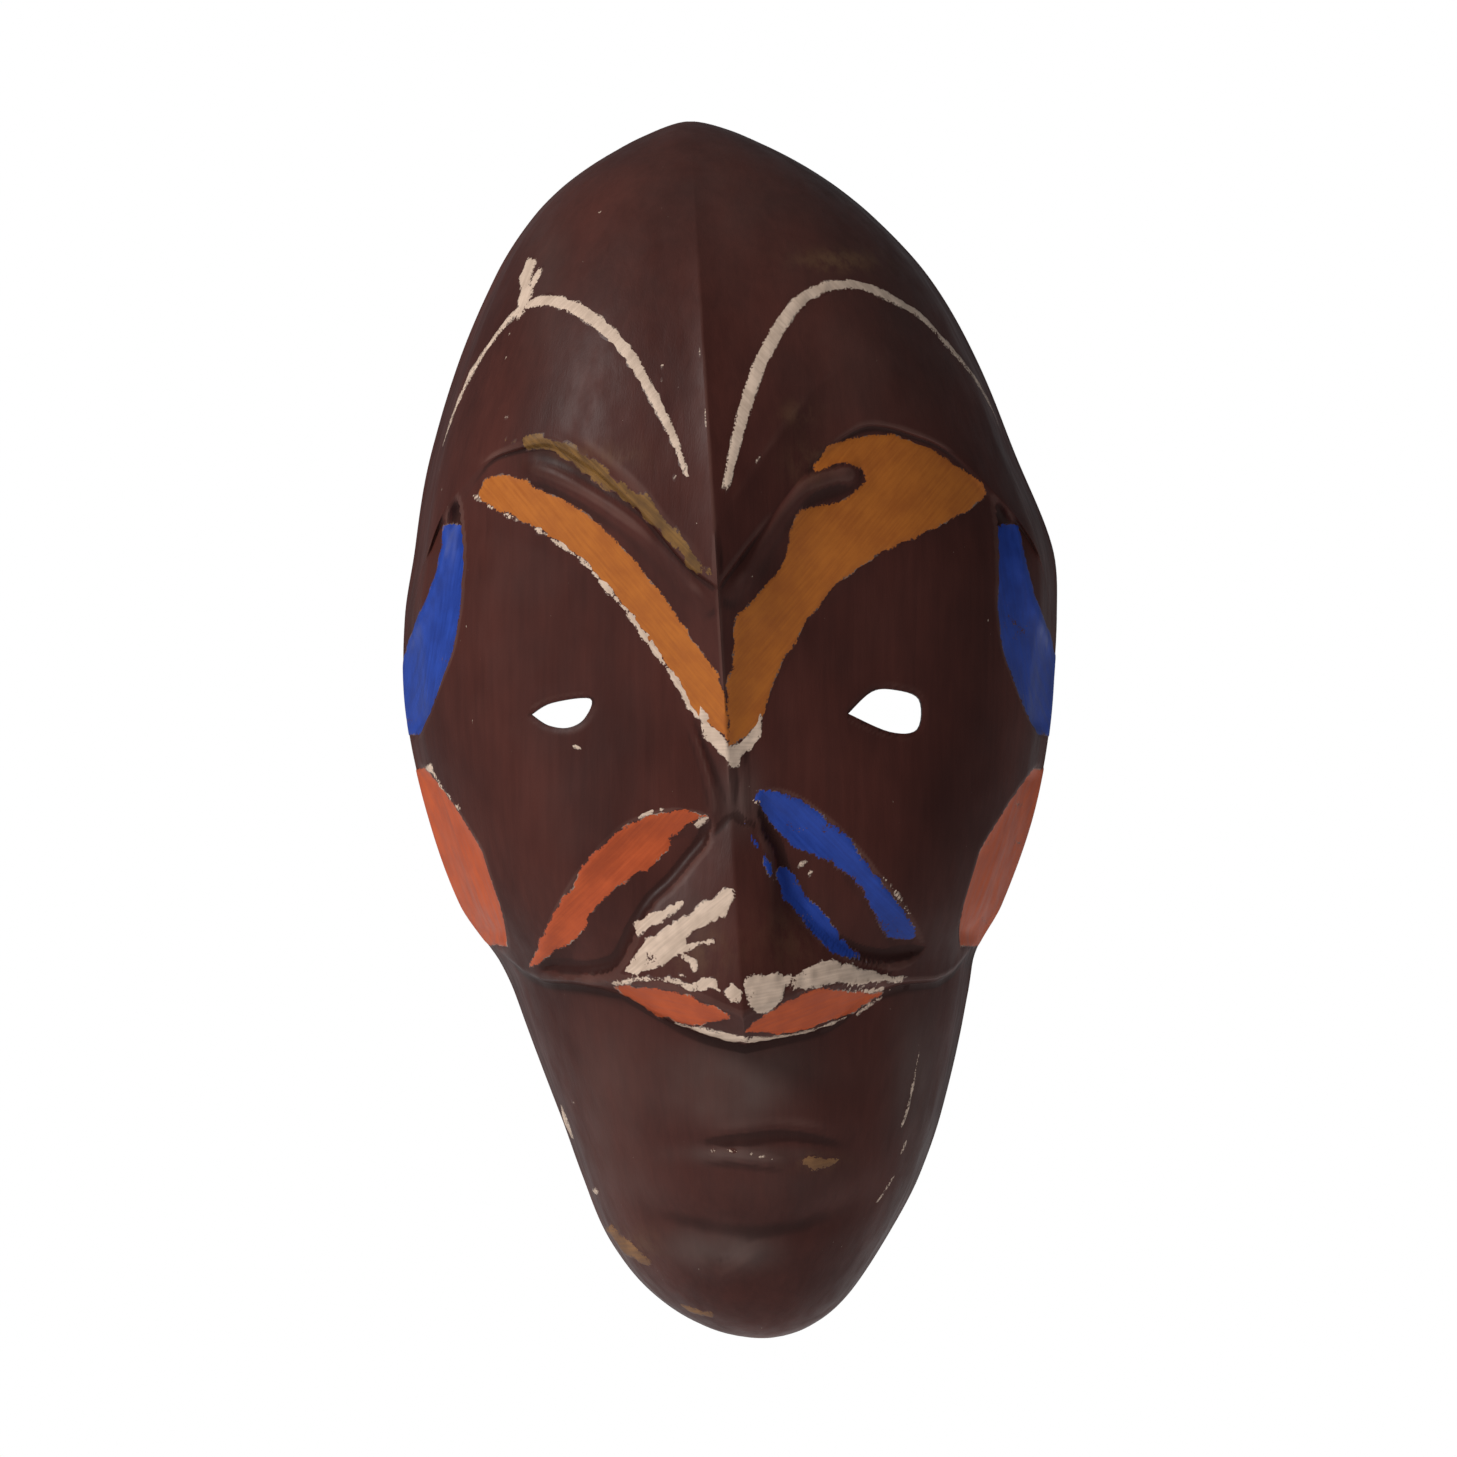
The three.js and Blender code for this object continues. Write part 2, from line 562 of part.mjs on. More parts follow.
// An outline of one width along a line, thinner towards its ends.
function stroke(points, width) {
  const line = splineOf(points);
  const left = [];
  const right = [];
  const steps = 16;
  for (let i = 0; i <= steps; i += 1) {
    const k = i / steps;
    const reach = (width / 2) * (0.55 + 0.45 * Math.sin(Math.PI * k));
    const place = line.getPoint(k);
    const way = line.getTangent(k);
    left.push(new THREE.Vector2(place.x - way.y * reach, place.y + way.x * reach));
    right.push(new THREE.Vector2(place.x + way.y * reach, place.y - way.x * reach));
  }
  return [...left, ...right.reverse()];
}

// The outline of a hollow on the side of the head, kept off the rim.
function sideLens(side, { low, high, front, back }) {
  const steps = 12;
  const inset = 0.03;
  const heights = Array.from({ length: steps + 1 }, (_, i) => mix(low + 1.5, high - 1.5, i / steps));
  const edge = (at) => heights.map((h) => new THREE.Vector2(acrossAt(side * at(h), h), h - ORIGIN_HEIGHT));
  return [...edge(front), ...edge((h) => Math.max(back(h) - inset, front(h) + 0.012)).reverse()];
}

const PAINT = {
  brow_ochre_left: ["ochre", between(
    [[-63, 207], [-57, 211.5], [-45, 207.5], [-26.5, 194], [-9, 170.5], [-3, 158], [-2, 145]],
    [[-63, 207], [-49, 199.5], [-34.5, 189], [-13.5, 161.5], [-8, 153], [-2, 145]])],
  brow_ochre_right: ["ochre", between(
    [[1, 145], [1, 160], [2.5, 177], [12.5, 191], [17, 202], [28, 206], [32, 212], [35, 220], [50, 217],
      [62, 207.5]],
    [[1, 145], [9.5, 160], [20.5, 179.5], [32.5, 190], [54, 200.5], [62, 207.5]])],
  brow_cream_tip: ["cream", between(
    [[-6, 150], [-2.5, 144.2], [1, 144.2], [5, 150]],
    [[-6, 150], [-3, 143], [0.5, 139.5], [3, 143], [5, 150]])],
  brow_olive_left: ["olive", between(
    [[-55, 220], [-43, 221], [-29.5, 212.5], [-14.5, 200], [-6, 188.5]],
    [[-55, 220], [-39, 215.5], [-24.5, 204], [-12, 191.5], [-6, 188.5]])],
  temple_blue_left: ["blue", sideLens(-1, SIDE_HOLLOWS.temple)],
  temple_blue_right: ["blue", sideLens(1, SIDE_HOLLOWS.temple)],
  cheek_red_left: ["red", sideLens(-1, SIDE_HOLLOWS.cheek)],
  cheek_red_right: ["red", sideLens(1, SIDE_HOLLOWS.cheek)],
  leaf_red_left: ["red", between(
    [[-49, 92.5], [-44, 104], [-35.5, 117.5], [-24.5, 127.5], [-7, 129]],
    [[-49, 92.5], [-37.5, 100], [-27.5, 112], [-16, 120.5], [-7, 129]])],
  leaf_blue_right: ["blue", between(
    [[6, 133], [13, 134.5], [26.5, 125], [38, 110.5], [46, 98]],
    [[6, 133], [13.5, 122.5], [25.5, 116.5], [34.5, 105.5], [46, 98]])],
  leaf_blue_right_lower: ["blue", between(
    [[10, 117.5], [18.5, 109.5], [26.5, 100], [33, 94]],
    [[10, 117.5], [14.5, 106], [24.5, 96], [33, 94]])],
  nose_cream_left: ["cream", between(
    [[-28, 90.5], [-19.5, 100.5], [-6, 109], [1, 111]],
    [[-28, 90.5], [-14.5, 93.5], [-5, 103], [1, 111]])],
  nose_cream_right: ["cream", between(
    [[4.5, 86.5], [14, 90.5], [28, 92.5], [42, 90]],
    [[4.5, 86.5], [11, 84], [22, 88], [42, 90]])],
  lip_red_left: ["red", between(
    [[-29, 87], [-18, 85.4], [-8, 83.6], [1, 80.4]],
    [[-29, 87], [-20, 81.6], [-8, 78.6], [1, 80.4]])],
  lip_red_right: ["red", between(
    [[6, 79.8], [12, 81.7], [24, 85.2], [36, 86.6]],
    [[6, 79.8], [12, 78.2], [24, 80.6], [36, 86.6]])],
  lip_cream_edge: ["cream", between(
    [[-20, 80.2], [-8, 77.5], [4, 76.6], [16, 77.2], [26, 79.4]],
    [[-20, 80.2], [-8, 76], [4, 75], [16, 75.6], [26, 79.4]])],
  forehead_line_left: ["cream", stroke(
    [[-11, 210.5], [-17.5, 227], [-25.5, 241], [-35.5, 250.5], [-47.5, 254], [-55.5, 249], [-63.5, 238]],
    3.4)],
  forehead_line_right: ["cream", stroke(
    [[-2, 207.5], [3, 228], [10, 245], [20.5, 256.5], [32.5, 257.5], [45.5, 251], [55.5, 240.5]], 3.4)],
};

// ---------------------------------------------------------------- the assembly
const material = (color, roughness, metalness = 0) =>
  new THREE.MeshStandardMaterial({ color, roughness, metalness });
const MATERIALS = {
  wood: material("#4a2a26", 0.42),
  ochre: material("#c0722c", 0.5),
  olive: material("#7c5a35", 0.55),
  blue: material("#2d4fa6", 0.5),
  red: material("#bd5a35", 0.5),
  cream: material("#d9c3ae", 0.65),
  steel: material("#b9a877", 0.35, 1),
};

const mask = new THREE.Group();
const addPart = (name, geometry, finish) => {
  const mesh = new THREE.Mesh(geometry, MATERIALS[finish]);
  mesh.name = name;
  mask.add(mesh);
};

addPart("mask_body", toGeometry(body), "wood");
for (const [name, [finish, outline]] of Object.entries(PAINT)) {
  addPart(name, toGeometry(largest(skin.intersect(prism(outline, -100, -4)))), finish);
}
addPart("hanger_plate", toGeometry(plateSolid()), "steel");
addPart("hanger_ring", ringGeometry(), "steel");
SCREWS_Z.forEach((z, i) => addPart(`hanger_screw_${i ? "lower" : "upper"}`, screwGeometry(z), "steel"));

export default mask;
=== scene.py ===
"""A carved and painted wooden wall mask with a swivelling hanging ring let into its back.

The wood is one dense grid over the carved lines, hollowed by boolean cuts. Each coat of paint is a thin
film on the same grid, and its edges dip into the wood where the paint is chipped away. Shapes are worked
out in millimetres above the tip of the chin and turned into metres as each mesh is made.
"""

import math

import bmesh
import bpy
import numpy as np
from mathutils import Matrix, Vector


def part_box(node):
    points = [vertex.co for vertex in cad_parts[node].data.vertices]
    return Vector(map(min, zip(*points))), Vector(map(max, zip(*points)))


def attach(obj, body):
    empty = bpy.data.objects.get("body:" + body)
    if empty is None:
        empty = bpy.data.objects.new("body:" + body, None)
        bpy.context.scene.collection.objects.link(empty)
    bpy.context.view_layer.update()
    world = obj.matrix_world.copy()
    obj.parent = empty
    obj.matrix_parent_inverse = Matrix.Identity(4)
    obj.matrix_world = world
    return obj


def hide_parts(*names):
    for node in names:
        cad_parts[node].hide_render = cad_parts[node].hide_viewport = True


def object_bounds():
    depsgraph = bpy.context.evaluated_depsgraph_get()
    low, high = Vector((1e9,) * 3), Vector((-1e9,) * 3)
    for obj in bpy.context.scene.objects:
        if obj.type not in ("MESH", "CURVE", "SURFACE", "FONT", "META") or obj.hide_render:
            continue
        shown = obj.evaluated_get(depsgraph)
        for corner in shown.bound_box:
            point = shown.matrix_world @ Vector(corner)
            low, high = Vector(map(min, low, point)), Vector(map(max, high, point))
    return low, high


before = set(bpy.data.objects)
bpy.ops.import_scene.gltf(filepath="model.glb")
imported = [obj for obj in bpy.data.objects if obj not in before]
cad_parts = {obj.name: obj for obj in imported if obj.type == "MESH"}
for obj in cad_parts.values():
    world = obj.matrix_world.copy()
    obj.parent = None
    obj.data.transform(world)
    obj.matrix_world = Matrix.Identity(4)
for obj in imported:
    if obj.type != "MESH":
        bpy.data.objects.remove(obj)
cad_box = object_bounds()
body_low, body_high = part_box("mask_body")

# ---------------------------------------------------------------- sizes, in millimetres
HEIGHT = (body_high[2] - body_low[2]) * 1000
ORIGIN_HEIGHT = -body_low[2] * 1000  # the frame's origin, above the tip of the chin
LEAN = 0.0593  # how far the middle line moves left for each millimetre up
CHIN_X = 7.2
FOREHEAD_DEPTH = 80  # in front of the wall, as are the next two
FACE_DEPTH = 67
JAW_DEPTH = 62
NOSE_RISE = 13
BRIDGE_RISE = 11
BROW_RISE = 3.5
KEEL_RISE = 3
LIP_UNDERCUT = 9
SCOOP = 2.2  # depth of the shallow painted hollows
LEAF_BANK = 7  # width of a leaf hollow's slope at its upper edge
LEAF_STEEP_BANK = 2  # the same at its foot
WAIST = 129  # narrowest place of the bridge
BROW_TIP = 184  # lowest place of the hood
NOSE_CORNER = 0.66  # where the nose ends, as a share of the half width
HOLLOW_DEPTH = 50
HOLLOW_LOW = 14
HOLLOW_HIGH = 230
RIM = 10
GOUGE_WIDTH = 11
GOUGE_DEPTH = 1.3
STEP = 0.7  # half the height over which one part of the face turns into the next
WIRE = 1.2  # radius of the ring's wire

# Points across and up each part of the carved face.
COLUMNS = 261
JAW_ROWS = 84
FACE_ROWS = 140
FOREHEAD_ROWS = 84
STEP_ROWS = 6

FILM = 0.16  # how far paint stands above the wood
FILM_BACK = -0.45
FILM_MARGIN = 1.0
PAINT_TOP = 200  # the highest paint on the sides of the head
CREAM_BODY = 1.5  # how much the thick cream paint stands up in places, times its film


# ---------------------------------------------------------------- small mathematics
def mix(a, b, k):
    return a + (b - a) * k


def smooth(x):
    k = np.clip(x, 0, 1)
    return k * k * (3 - 2 * k)


def hump(x, centre, spread):
    return np.exp(-(((x - centre) / spread) ** 2))


def through(points):
    """A smooth function through a few points, which never overshoots them."""
    xs, ys = np.array(points, float).T
    slope = np.diff(ys) / np.diff(xs)
    product = slope[:-1] * slope[1:]
    total = np.where(product > 0, slope[:-1] + slope[1:], 1)
    inner = np.where(product > 0, 2 * product / total, 0)
    tangent = np.concatenate([slope[:1], inner, slope[-1:]])

    def value(x):
        i = np.clip(np.searchsorted(xs, x) - 1, 0, len(xs) - 2)
        span = xs[i + 1] - xs[i]
        k = np.clip((x - xs[i]) / span, 0, 1)
        cubic = (1 + 2 * k) * (1 - k) ** 2 * ys[i] + k * k * (3 - 2 * k) * ys[i + 1]
        return cubic + span * (k * (1 - k) ** 2 * tangent[i] - k * k * (1 - k) * tangent[i + 1])

    return value


def noise(x, y, size, seed):
    """Smooth random values from -1 to 1 that change over size millimetres."""
    table = np.random.default_rng(seed).uniform(-1, 1, (64, 64))
    x, y = np.asarray(x) / size, np.asarray(y) / size
    i, j = np.floor(x).astype(int), np.floor(y).astype(int)
    s, t = smooth(x - i), smooth(y - j)
    near = mix(table[i % 64, j % 64], table[(i + 1) % 64, j % 64], s)
    far = mix(table[i % 64, (j + 1) % 64], table[(i + 1) % 64, (j + 1) % 64], s)
    return mix(near, far, t)


# ---------------------------------------------------------------- the carving's outline and lines
width_factor = through([
    (0, 69), (10, 65.2), (22, 62.8), (55, 60.7), (80, 61.7), (92, 63), (107, 69.8), (137, 77), (160, 80.3),
    (192, 82.5), (225, 80.6), (262, 80.2), (277, 78), (283.5, 75.4), (288, 71.8), (292, 66.6), (296, 58),
    (300, 44),
])
wider_on_right = through([
    (0, -5.4), (12, -5.6), (22, -4.4), (40, -0.6), (55, 0.5), (85, -0.1), (100, -1.6), (130, -0.1),
    (160, 1.2), (178, 2.9), (195, 4.8), (218, 3.7), (240, 4.3), (258, 4.8), (285, 3.2), (300, 4),
])
hood_left = through([
    (0, BROW_TIP), (0.09, 189.5), (0.26, 204), (0.45, 215), (0.58, 219), (0.72, 217), (0.85, 210),
    (0.91, 202.5), (0.95, 192), (1, 174),
])
hood_right = through([
    (0, BROW_TIP), (0.1, 194.5), (0.27, 210), (0.4, 219), (0.54, 223.5), (0.7, 220.5), (0.8, 215.5),
    (0.87, 207.5), (0.93, 197), (1, 172),
])
foot_line = through([
    (0, 74), (0.17, 76), (0.37, 79.5), (0.52, 84.5), (0.62, 87.3), (0.72, 88.4), (0.82, 88.6), (0.9, 90.5),
    (0.96, 95), (1, 98.5),
])
lip_line = through([(0, 81), (0.08, 83), (0.2, 85.8), (0.35, 88), (0.5, 89), (0.66, 89)])
# The foot of each leaf-shaped cheek hollow, where it meets the nose, and its upper edge, as (x, h).
LEAF_FEET = {
    "left": [(-5, 129.5), (-6, 123), (-9.8, 118), (-14.3, 112.5), (-19, 108), (-23.3, 101.5), (-27.8, 93),
             (-33, 90.5), (-41, 90), (-48.5, 92.3)],
    "right": [(5.5, 132.5), (7, 125.6), (9.5, 121.2), (11, 116), (13.7, 109), (19.5, 101.2), (26.5, 96),
              (33, 93.5), (40, 93), (45, 95), (47, 97.5)],
}
LEAF_TOPS = {
    "left": [(-5, 129.5), (-12, 130.6), (-17.8, 130), (-24.5, 127.6), (-29.5, 124), (-35.3, 117.7),
             (-40.3, 111), (-44.2, 104), (-48.5, 92.3)],
    "right": [(5.5, 132.5), (7, 135.3), (12.8, 134.7), (19.6, 130.9), (26.5, 125), (32.4, 118.2),
              (38.3, 110.3), (43.2, 104), (46, 99.5), (47, 97.5)],
}
# The rounded ribs under the hood, the edges of the bridge, and the lines of mouth and chin with their rise
# and spread.
BROW_RIBS = {
    "left": [(-52, 214), (-44, 211.5), (-35, 206.7), (-24.4, 199.5), (-17.6, 192.8), (-10.8, 185.5),
             (-4, 178)],
    "right": [(-2, 180), (3.5, 188.5), (8.3, 197), (12.6, 203.2), (18.5, 209), (26, 211.5), (31, 211.8)],
}
BRIDGE_EDGES = [
    [(-12, 157), (-8, 145), (-5.6, 137), (-4.4, 132), (-5, 127.5)],
    [(1.6, 145), (2.4, 139), (2.4, 134), (2.8, 130), (5, 125)],
]
JAW_LINES = [
    ([(-8, 49.8), (1, 50.6), (9, 51.6), (18, 51), (30, 48.2)], -0.9, 2.2),
    ([(-11, 47.6), (-1, 47.2), (7, 46.2), (16, 45.2)], 0.8, 1.8),
    ([(-32, 39), (-24, 35.5), (-16, 32), (-8, 29.8), (0, 28.3), (9, 28.3), (18, 30), (28, 34), (37, 39),
      (41, 43)], -1.5, 4),
    ([(-11, 25), (-3, 17.5), (9.8, 26)], 1.0, 2.4),
]
# The hollows on the sides of the head: from and to what height, and their front and rear edges as shares of
# the half width.
SIDE_HOLLOWS = {
    "temple": (147, 208,
               through([(147, 0.975), (155.7, 0.905), (163, 0.865), (170, 0.83), (180, 0.816), (191, 0.825),
                        (202, 0.851), (208, 0.87)]),
               through([(147, 0.995), (165, 0.99), (170, 0.978), (175, 0.95), (180, 0.917), (186, 0.897),
                        (192, 0.885), (202, 0.888), (208, 0.89)])),
    "cheek": (95, 142,
              through([(95, 0.93), (107, 0.845), (118, 0.84), (128, 0.88), (136, 0.93), (142, 0.98)]),
              lambda h: np.ones_like(h)),
}
EYES = {
    "left": [(-49, 153.6), (-44, 156.4), (-34.6, 157.4), (-36, 152.6), (-40, 150.4), (-45, 151)],
    "right": [(27.9, 153.8), (33.5, 159), (39, 159.6), (45.2, 157.3), (44.8, 150), (38, 149.4)],
}


def centre_x(h):
    return CHIN_X - LEAN * h


def fullness(h):
    return np.sqrt(np.maximum(0, 1 - (2 * h / HEIGHT - 1) ** 2))


def across_at(u, h):
    """Sideways place of u, which runs from -1 at the left rim to 1 at the right rim."""
    half_width = fullness(h) * width_factor(h)
    return centre_x(h) + (np.sign(u) * half_width + wider_on_right(h) * fullness(h)) * np.abs(u)


def rounded(e, power):
    return (1 - np.minimum(1, e) ** power) ** (1 / power)


def hood_edge(u):
    return np.where(u < 0, hood_left(np.abs(u)), hood_right(np.abs(u)))


def flank_foot(u):
    return np.minimum(WAIST + 74 * (1 - np.exp(-np.abs(u) / 0.28)), hood_edge(u) - 2)


def head_foot(u):
    """Foot of the head over the jaw: a little higher on the left of the lip."""
    e = np.abs(u)
    return foot_line(e) - 1.5 * np.sign(u) * hump(e, 0.42, 0.16)


def curve(points, steps=6):
    """A smooth line through points, from the first to the last."""
    points = np.array(points, float)
    last = len(points) - 1
    k = np.linspace(0, last, steps * last + 1)
    i = np.minimum(k.astype(int), last - 1)
    t = (k - i)[:, None]
    p0, p1, p2 = points[np.maximum(i - 1, 0)], points[i], points[i + 1]
    p3 = points[np.minimum(i + 2, last)]
    v0, v1 = (p2 - p0) / 2, (p3 - p1) / 2
    return (2 * p1 - 2 * p2 + v0 + v1) * t**3 + (-3 * p1 + 3 * p2 - 2 * v0 - v1) * t**2 + v0 * t + p1


def closed_curve(points):
    return curve([*points, points[0]])[:-1]


def between(upper, lower):
    """An outline between two edges that share their ends."""
    return np.concatenate([curve(upper), curve(lower[::-1])[1:-1]])


def distance_from(x, h, line):
    """Distance from a line of straight pieces, and the share of the way along it of its nearest place."""
    nearest = np.full(np.shape(x), np.inf)
    place = np.zeros(np.shape(x))
    for number, ((ax, ah), (bx, bh)) in enumerate(zip(line[:-1], line[1:])):
        length = max((bx - ax) ** 2 + (bh - ah) ** 2, 1e-12)
        k = np.clip(((x - ax) * (bx - ax) + (h - ah) * (bh - ah)) / length, 0, 1)
        apart = np.hypot(x - ax - k * (bx - ax), h - ah - k * (bh - ah))
        place = np.where(apart < nearest, (number + k) / (len(line) - 1), place)
        nearest = np.minimum(nearest, apart)
    return nearest, place


def along_line(x, h, points, spread, fade=0.15):
    """1 on a line through points, falling to 0 over spread beside it and over its faded ends."""
    nearest, place = distance_from(x, h, curve(points, 4))
    ends = smooth(place / fade) * smooth((1 - place) / fade) if fade else 1
    return hump(nearest, 0, spread) * ends


def is_inside(x, h, outline):
    crossings = np.zeros(np.shape(x), int)
    for (ax, ah), (bx, bh) in zip(outline, np.roll(outline, -1, axis=0)):
        if bh != ah:
            crossings += ((ah > h) != (bh > h)) & (x < ax + (h - ah) * (bx - ax) / (bh - ah))
    return crossings % 2 == 1


def inside_distance(x, h, outline):
    """Distance from the outline's edge, positive inside it."""
    nearest, _ = distance_from(x, h, np.concatenate([outline, outline[:1]]))
    return np.where(is_inside(x, h, outline), nearest, -nearest)


def foot_over_u(side):
    """Where leaf hollow and nose meet, as a height over u: the foot of the leaf, run on to the rim."""
    points = np.array([(-0.6 if side == "left" else 0, WAIST), *LEAF_FEET[side][1:7]], float)
    half = fullness(points[:, 1]) * width_factor(points[:, 1])
    places = np.abs(points[:, 0] - centre_x(points[:, 1])) / half
    return through([*zip(places, points[:, 1]), (NOSE_CORNER, 90.5), (1, 86)])


foot_left, foot_right = foot_over_u("left"), foot_over_u("right")


def nose_groove(u):
    return np.where(u < 0, foot_left(np.abs(u)), foot_right(np.abs(u)))


# ---------------------------------------------------------------- depth in front of the wall
def forehead_depth(u, h):
    e = np.abs(u)
    dome = FOREHEAD_DEPTH * fullness(h) ** 0.9 * rounded(e, 2.2)
    keel = KEEL_RISE * np.exp(-e / 0.1) * smooth((HEIGHT - h) / 80)
    above = h - hood_edge(u)
    chamfer = np.where(u > 0, 4 * np.clip(1 - above / 15, 0, 1), 2 * np.clip(1 - above / 5, 0, 1))
    return dome + keel - chamfer * hump(e, 0.27, 0.24)


def brow_relief(u, h):
    e = np.abs(u)
    q = np.clip((h - flank_foot(u)) / (hood_edge(u) - flank_foot(u)), 0, 1)
    rise = BROW_RISE + (BRIDGE_RISE - BROW_RISE) * np.exp(-e / 0.16)
    ribs = sum(along_line(across_at(u, h), h, line, 2.4) for line in BROW_RIBS.values())
    return rise * q**1.3 + 1.9 * ribs


def nose_relief(u, h):
    e = np.abs(u)
    x = across_at(u, h)
    groove, lip = nose_groove(u), lip_line(e)
    wedge = NOSE_RISE * np.clip((groove - h) / (groove - lip), 0, 1) ** 0.85
    wedge *= np.clip(1 - e / NOSE_CORNER, 0, 1)
    edges = sum(along_line(x, h, line, 0.8, 0.25) for line in BRIDGE_EDGES)
    under = LIP_UNDERCUT * np.clip((lip - h) / (lip - head_foot(u)), 0, 1) * smooth((NOSE_CORNER - e) / 0.15)
    return wedge + 0.4 * edges - under


def face_depth(u, h):
    e = np.abs(u)
    level = FACE_DEPTH * fullness(h) ** 0.5
    eye_hollow = 2.5 * hump(e, 0.48, 0.25) * hump(h, 160, 26)
    cheek = 3 * hump(e, 0.55, 0.3) * hump(h, 108, 22)
    return level * rounded(e, 2.3) + brow_relief(u, h) + nose_relief(u, h) - eye_hollow + cheek


def jaw_depth(u, h):
    x = across_at(u, h)
    mouth_x = x - 5
    level = JAW_DEPTH * fullness(h) ** 0.6 * rounded(np.abs(u), 2.2)
    lips = (0.8 * hump(h, 55, 6) + 1.7 * hump(h, 38, 8)) * hump(mouth_x, 0, 26)
    philtrum = 2.5 * smooth((h - 52) / 24) * hump(mouth_x, -3, 22)
    lines = sum(rise * along_line(x, h, line, spread, 0.3) for line, rise, spread in JAW_LINES)
    return level + (lips - philtrum + lines) * smooth(h / 8)


def bowl(q):
    k = np.clip(q, 0, 1)
    return (4 * k * (1 - k)) ** 0.6


def scoop_at(u, h):
    e = np.abs(u)
    deepest = np.zeros_like(u)
    for low, high, front, back in SIDE_HOLLOWS.values():
        ends = smooth((h - low) / 5) * smooth((high - h) / 5) * smooth((hood_edge(u) - h + 2) / 9)
        deepest = np.maximum(deepest, ends * bowl((e - front(h)) / (back(h) - front(h))))
    for side in LEAF_TOPS:
        x = across_at(u, h)
        from_top, _ = distance_from(x, h, curve(LEAF_TOPS[side]))
        from_foot, _ = distance_from(x, h, curve(LEAF_FEET[side]))
        bank = np.minimum((from_top - 0.5) / LEAF_BANK, from_foot / LEAF_STEEP_BANK)
        inside = is_inside(x, h, between(LEAF_TOPS[side], LEAF_FEET[side]))
        deepest = np.maximum(deepest, inside * (1 - (1 - np.clip(bank, 0, 1)) ** 2))
    return SCOOP * deepest


def depth_at(u, h):
    e = np.abs(u)
    hood_step = STEP * (1 + 15 * smooth((e - 0.74) / 0.22))
    above_hood = smooth((h - hood_edge(u)) / (2 * hood_step) + 0.5)
    above_foot = smooth((h - head_foot(u)) / (2 * STEP) + 0.5)
    head = mix(face_depth(u, h), forehead_depth(u, h), above_hood)
    depth = np.maximum(0, mix(jaw_depth(u, h), head, above_foot))
    return depth * mix(rounded(e, 2), 1, smooth((1 - e) / 0.06))


def point_at(u, h):
    return np.stack([across_at(u, h), -depth_at(u, h), h], axis=-1)


def normal_at(u, h):
    du, dh = 0.004, 0.3
    along = point_at(np.clip(u + du, -1, 1), h) - point_at(np.clip(u - du, -1, 1), h)
    up = point_at(u, np.minimum(h + dh, HEIGHT)) - point_at(u, np.maximum(h - dh, 0))
    normal = np.cross(along, up)
    length = np.linalg.norm(normal, axis=-1, keepdims=True)
    return np.where(length > 1e-9, normal / np.maximum(length, 1e-9), [0, -1, 0])


# ---------------------------------------------------------------- outlines on the face
def stroke(points, widths):
    """An outline along a line, with a width at each of its points."""
    line = curve(points)
    way = np.gradient(line, axis=0)
    way /= np.linalg.norm(way, axis=1, keepdims=True)
    k = np.linspace(0, 1, len(line))
    reach = np.interp(k, np.linspace(0, 1, len(widths)), widths)[:, None] / 2 * way[:, ::-1] * [-1, 1]
    return np.concatenate([line + reach, (line - reach)[::-1]])


def spot(x, h, long, wide, degrees):
    """A small round or long mark."""
    turn = np.linspace(0, 2 * math.pi, 11)[:-1]
    a, b = long / 2 * np.cos(turn), wide / 2 * np.sin(turn)
    angle = math.radians(degrees)
    return np.column_stack([x + a * math.cos(angle) - b * math.sin(angle),
                            h + a * math.sin(angle) + b * math.cos(angle)])


def side_lens(side, name):
    """The outline of a hollow on the side of the head."""
    low, high, front, back = SIDE_HOLLOWS[name]
    h = np.linspace(low + 1.5, min(high - 1.5, PAINT_TOP), 14)
    rear = np.maximum(back(h) + 0.018, front(h) + 0.012)
    edges = [np.stack([across_at(side * e, h), h], axis=1) for e in (front(h), rear)]
    return np.concatenate([edges[0], edges[1][::-1]])


# Where the lacquer gets a painted grey sheen, which stands in for its reflections, or is rubbed thin to the
# tan wood, as x, h, half width, half height and strength.
PAINTED_SHEEN = [
    (1, 66, 17, 9, 1.0), (-2, 58, 10, 5, 0.5), (-6, 24, 10, 5, 1.0), (5, 23, 7, 4, 0.7),
    (2, 47, 13, 2.2, 1.0), (-30, 60, 10, 24, 0.35), (-24, 38, 10, 8, 0.25), (-10, 103, 6, 8, 0.4),
    (-46, 262, 6, 20, 0.35), (50, 36, 5, 14, 0.5), (44, 66, 5, 18, 0.7), (1, 134, 5, 8, 0.8),
    (14, 40, 20, 6, 0.3), (2, 282, 34, 22, 0.3), (34, 244, 24, 24, 0.3),
]
RUBBED = [
    (26, 264, 10, 2.6, 0.75), (16, 226, 5, 3, 0.35), (-34, 216, 12, 3, 0.35), (19, 214, 6, 5, 0.35),
    (-26, 24, 7, 4, 0.4), (20, 45, 7, 2, 0.4), (-9, 97, 9, 7, 0.35), (14, 100, 8, 8, 0.2),
]


def patches(spots):
    """Soft patches over the grid, from 0 to 1."""
    strength = np.zeros_like(x_grid)
    for x, h, wide, tall, strong in spots:
        strength += strong * hump(x_grid, x, wide) * hump(h_grid, h, tall)
    return np.clip(strength, 0, 1)


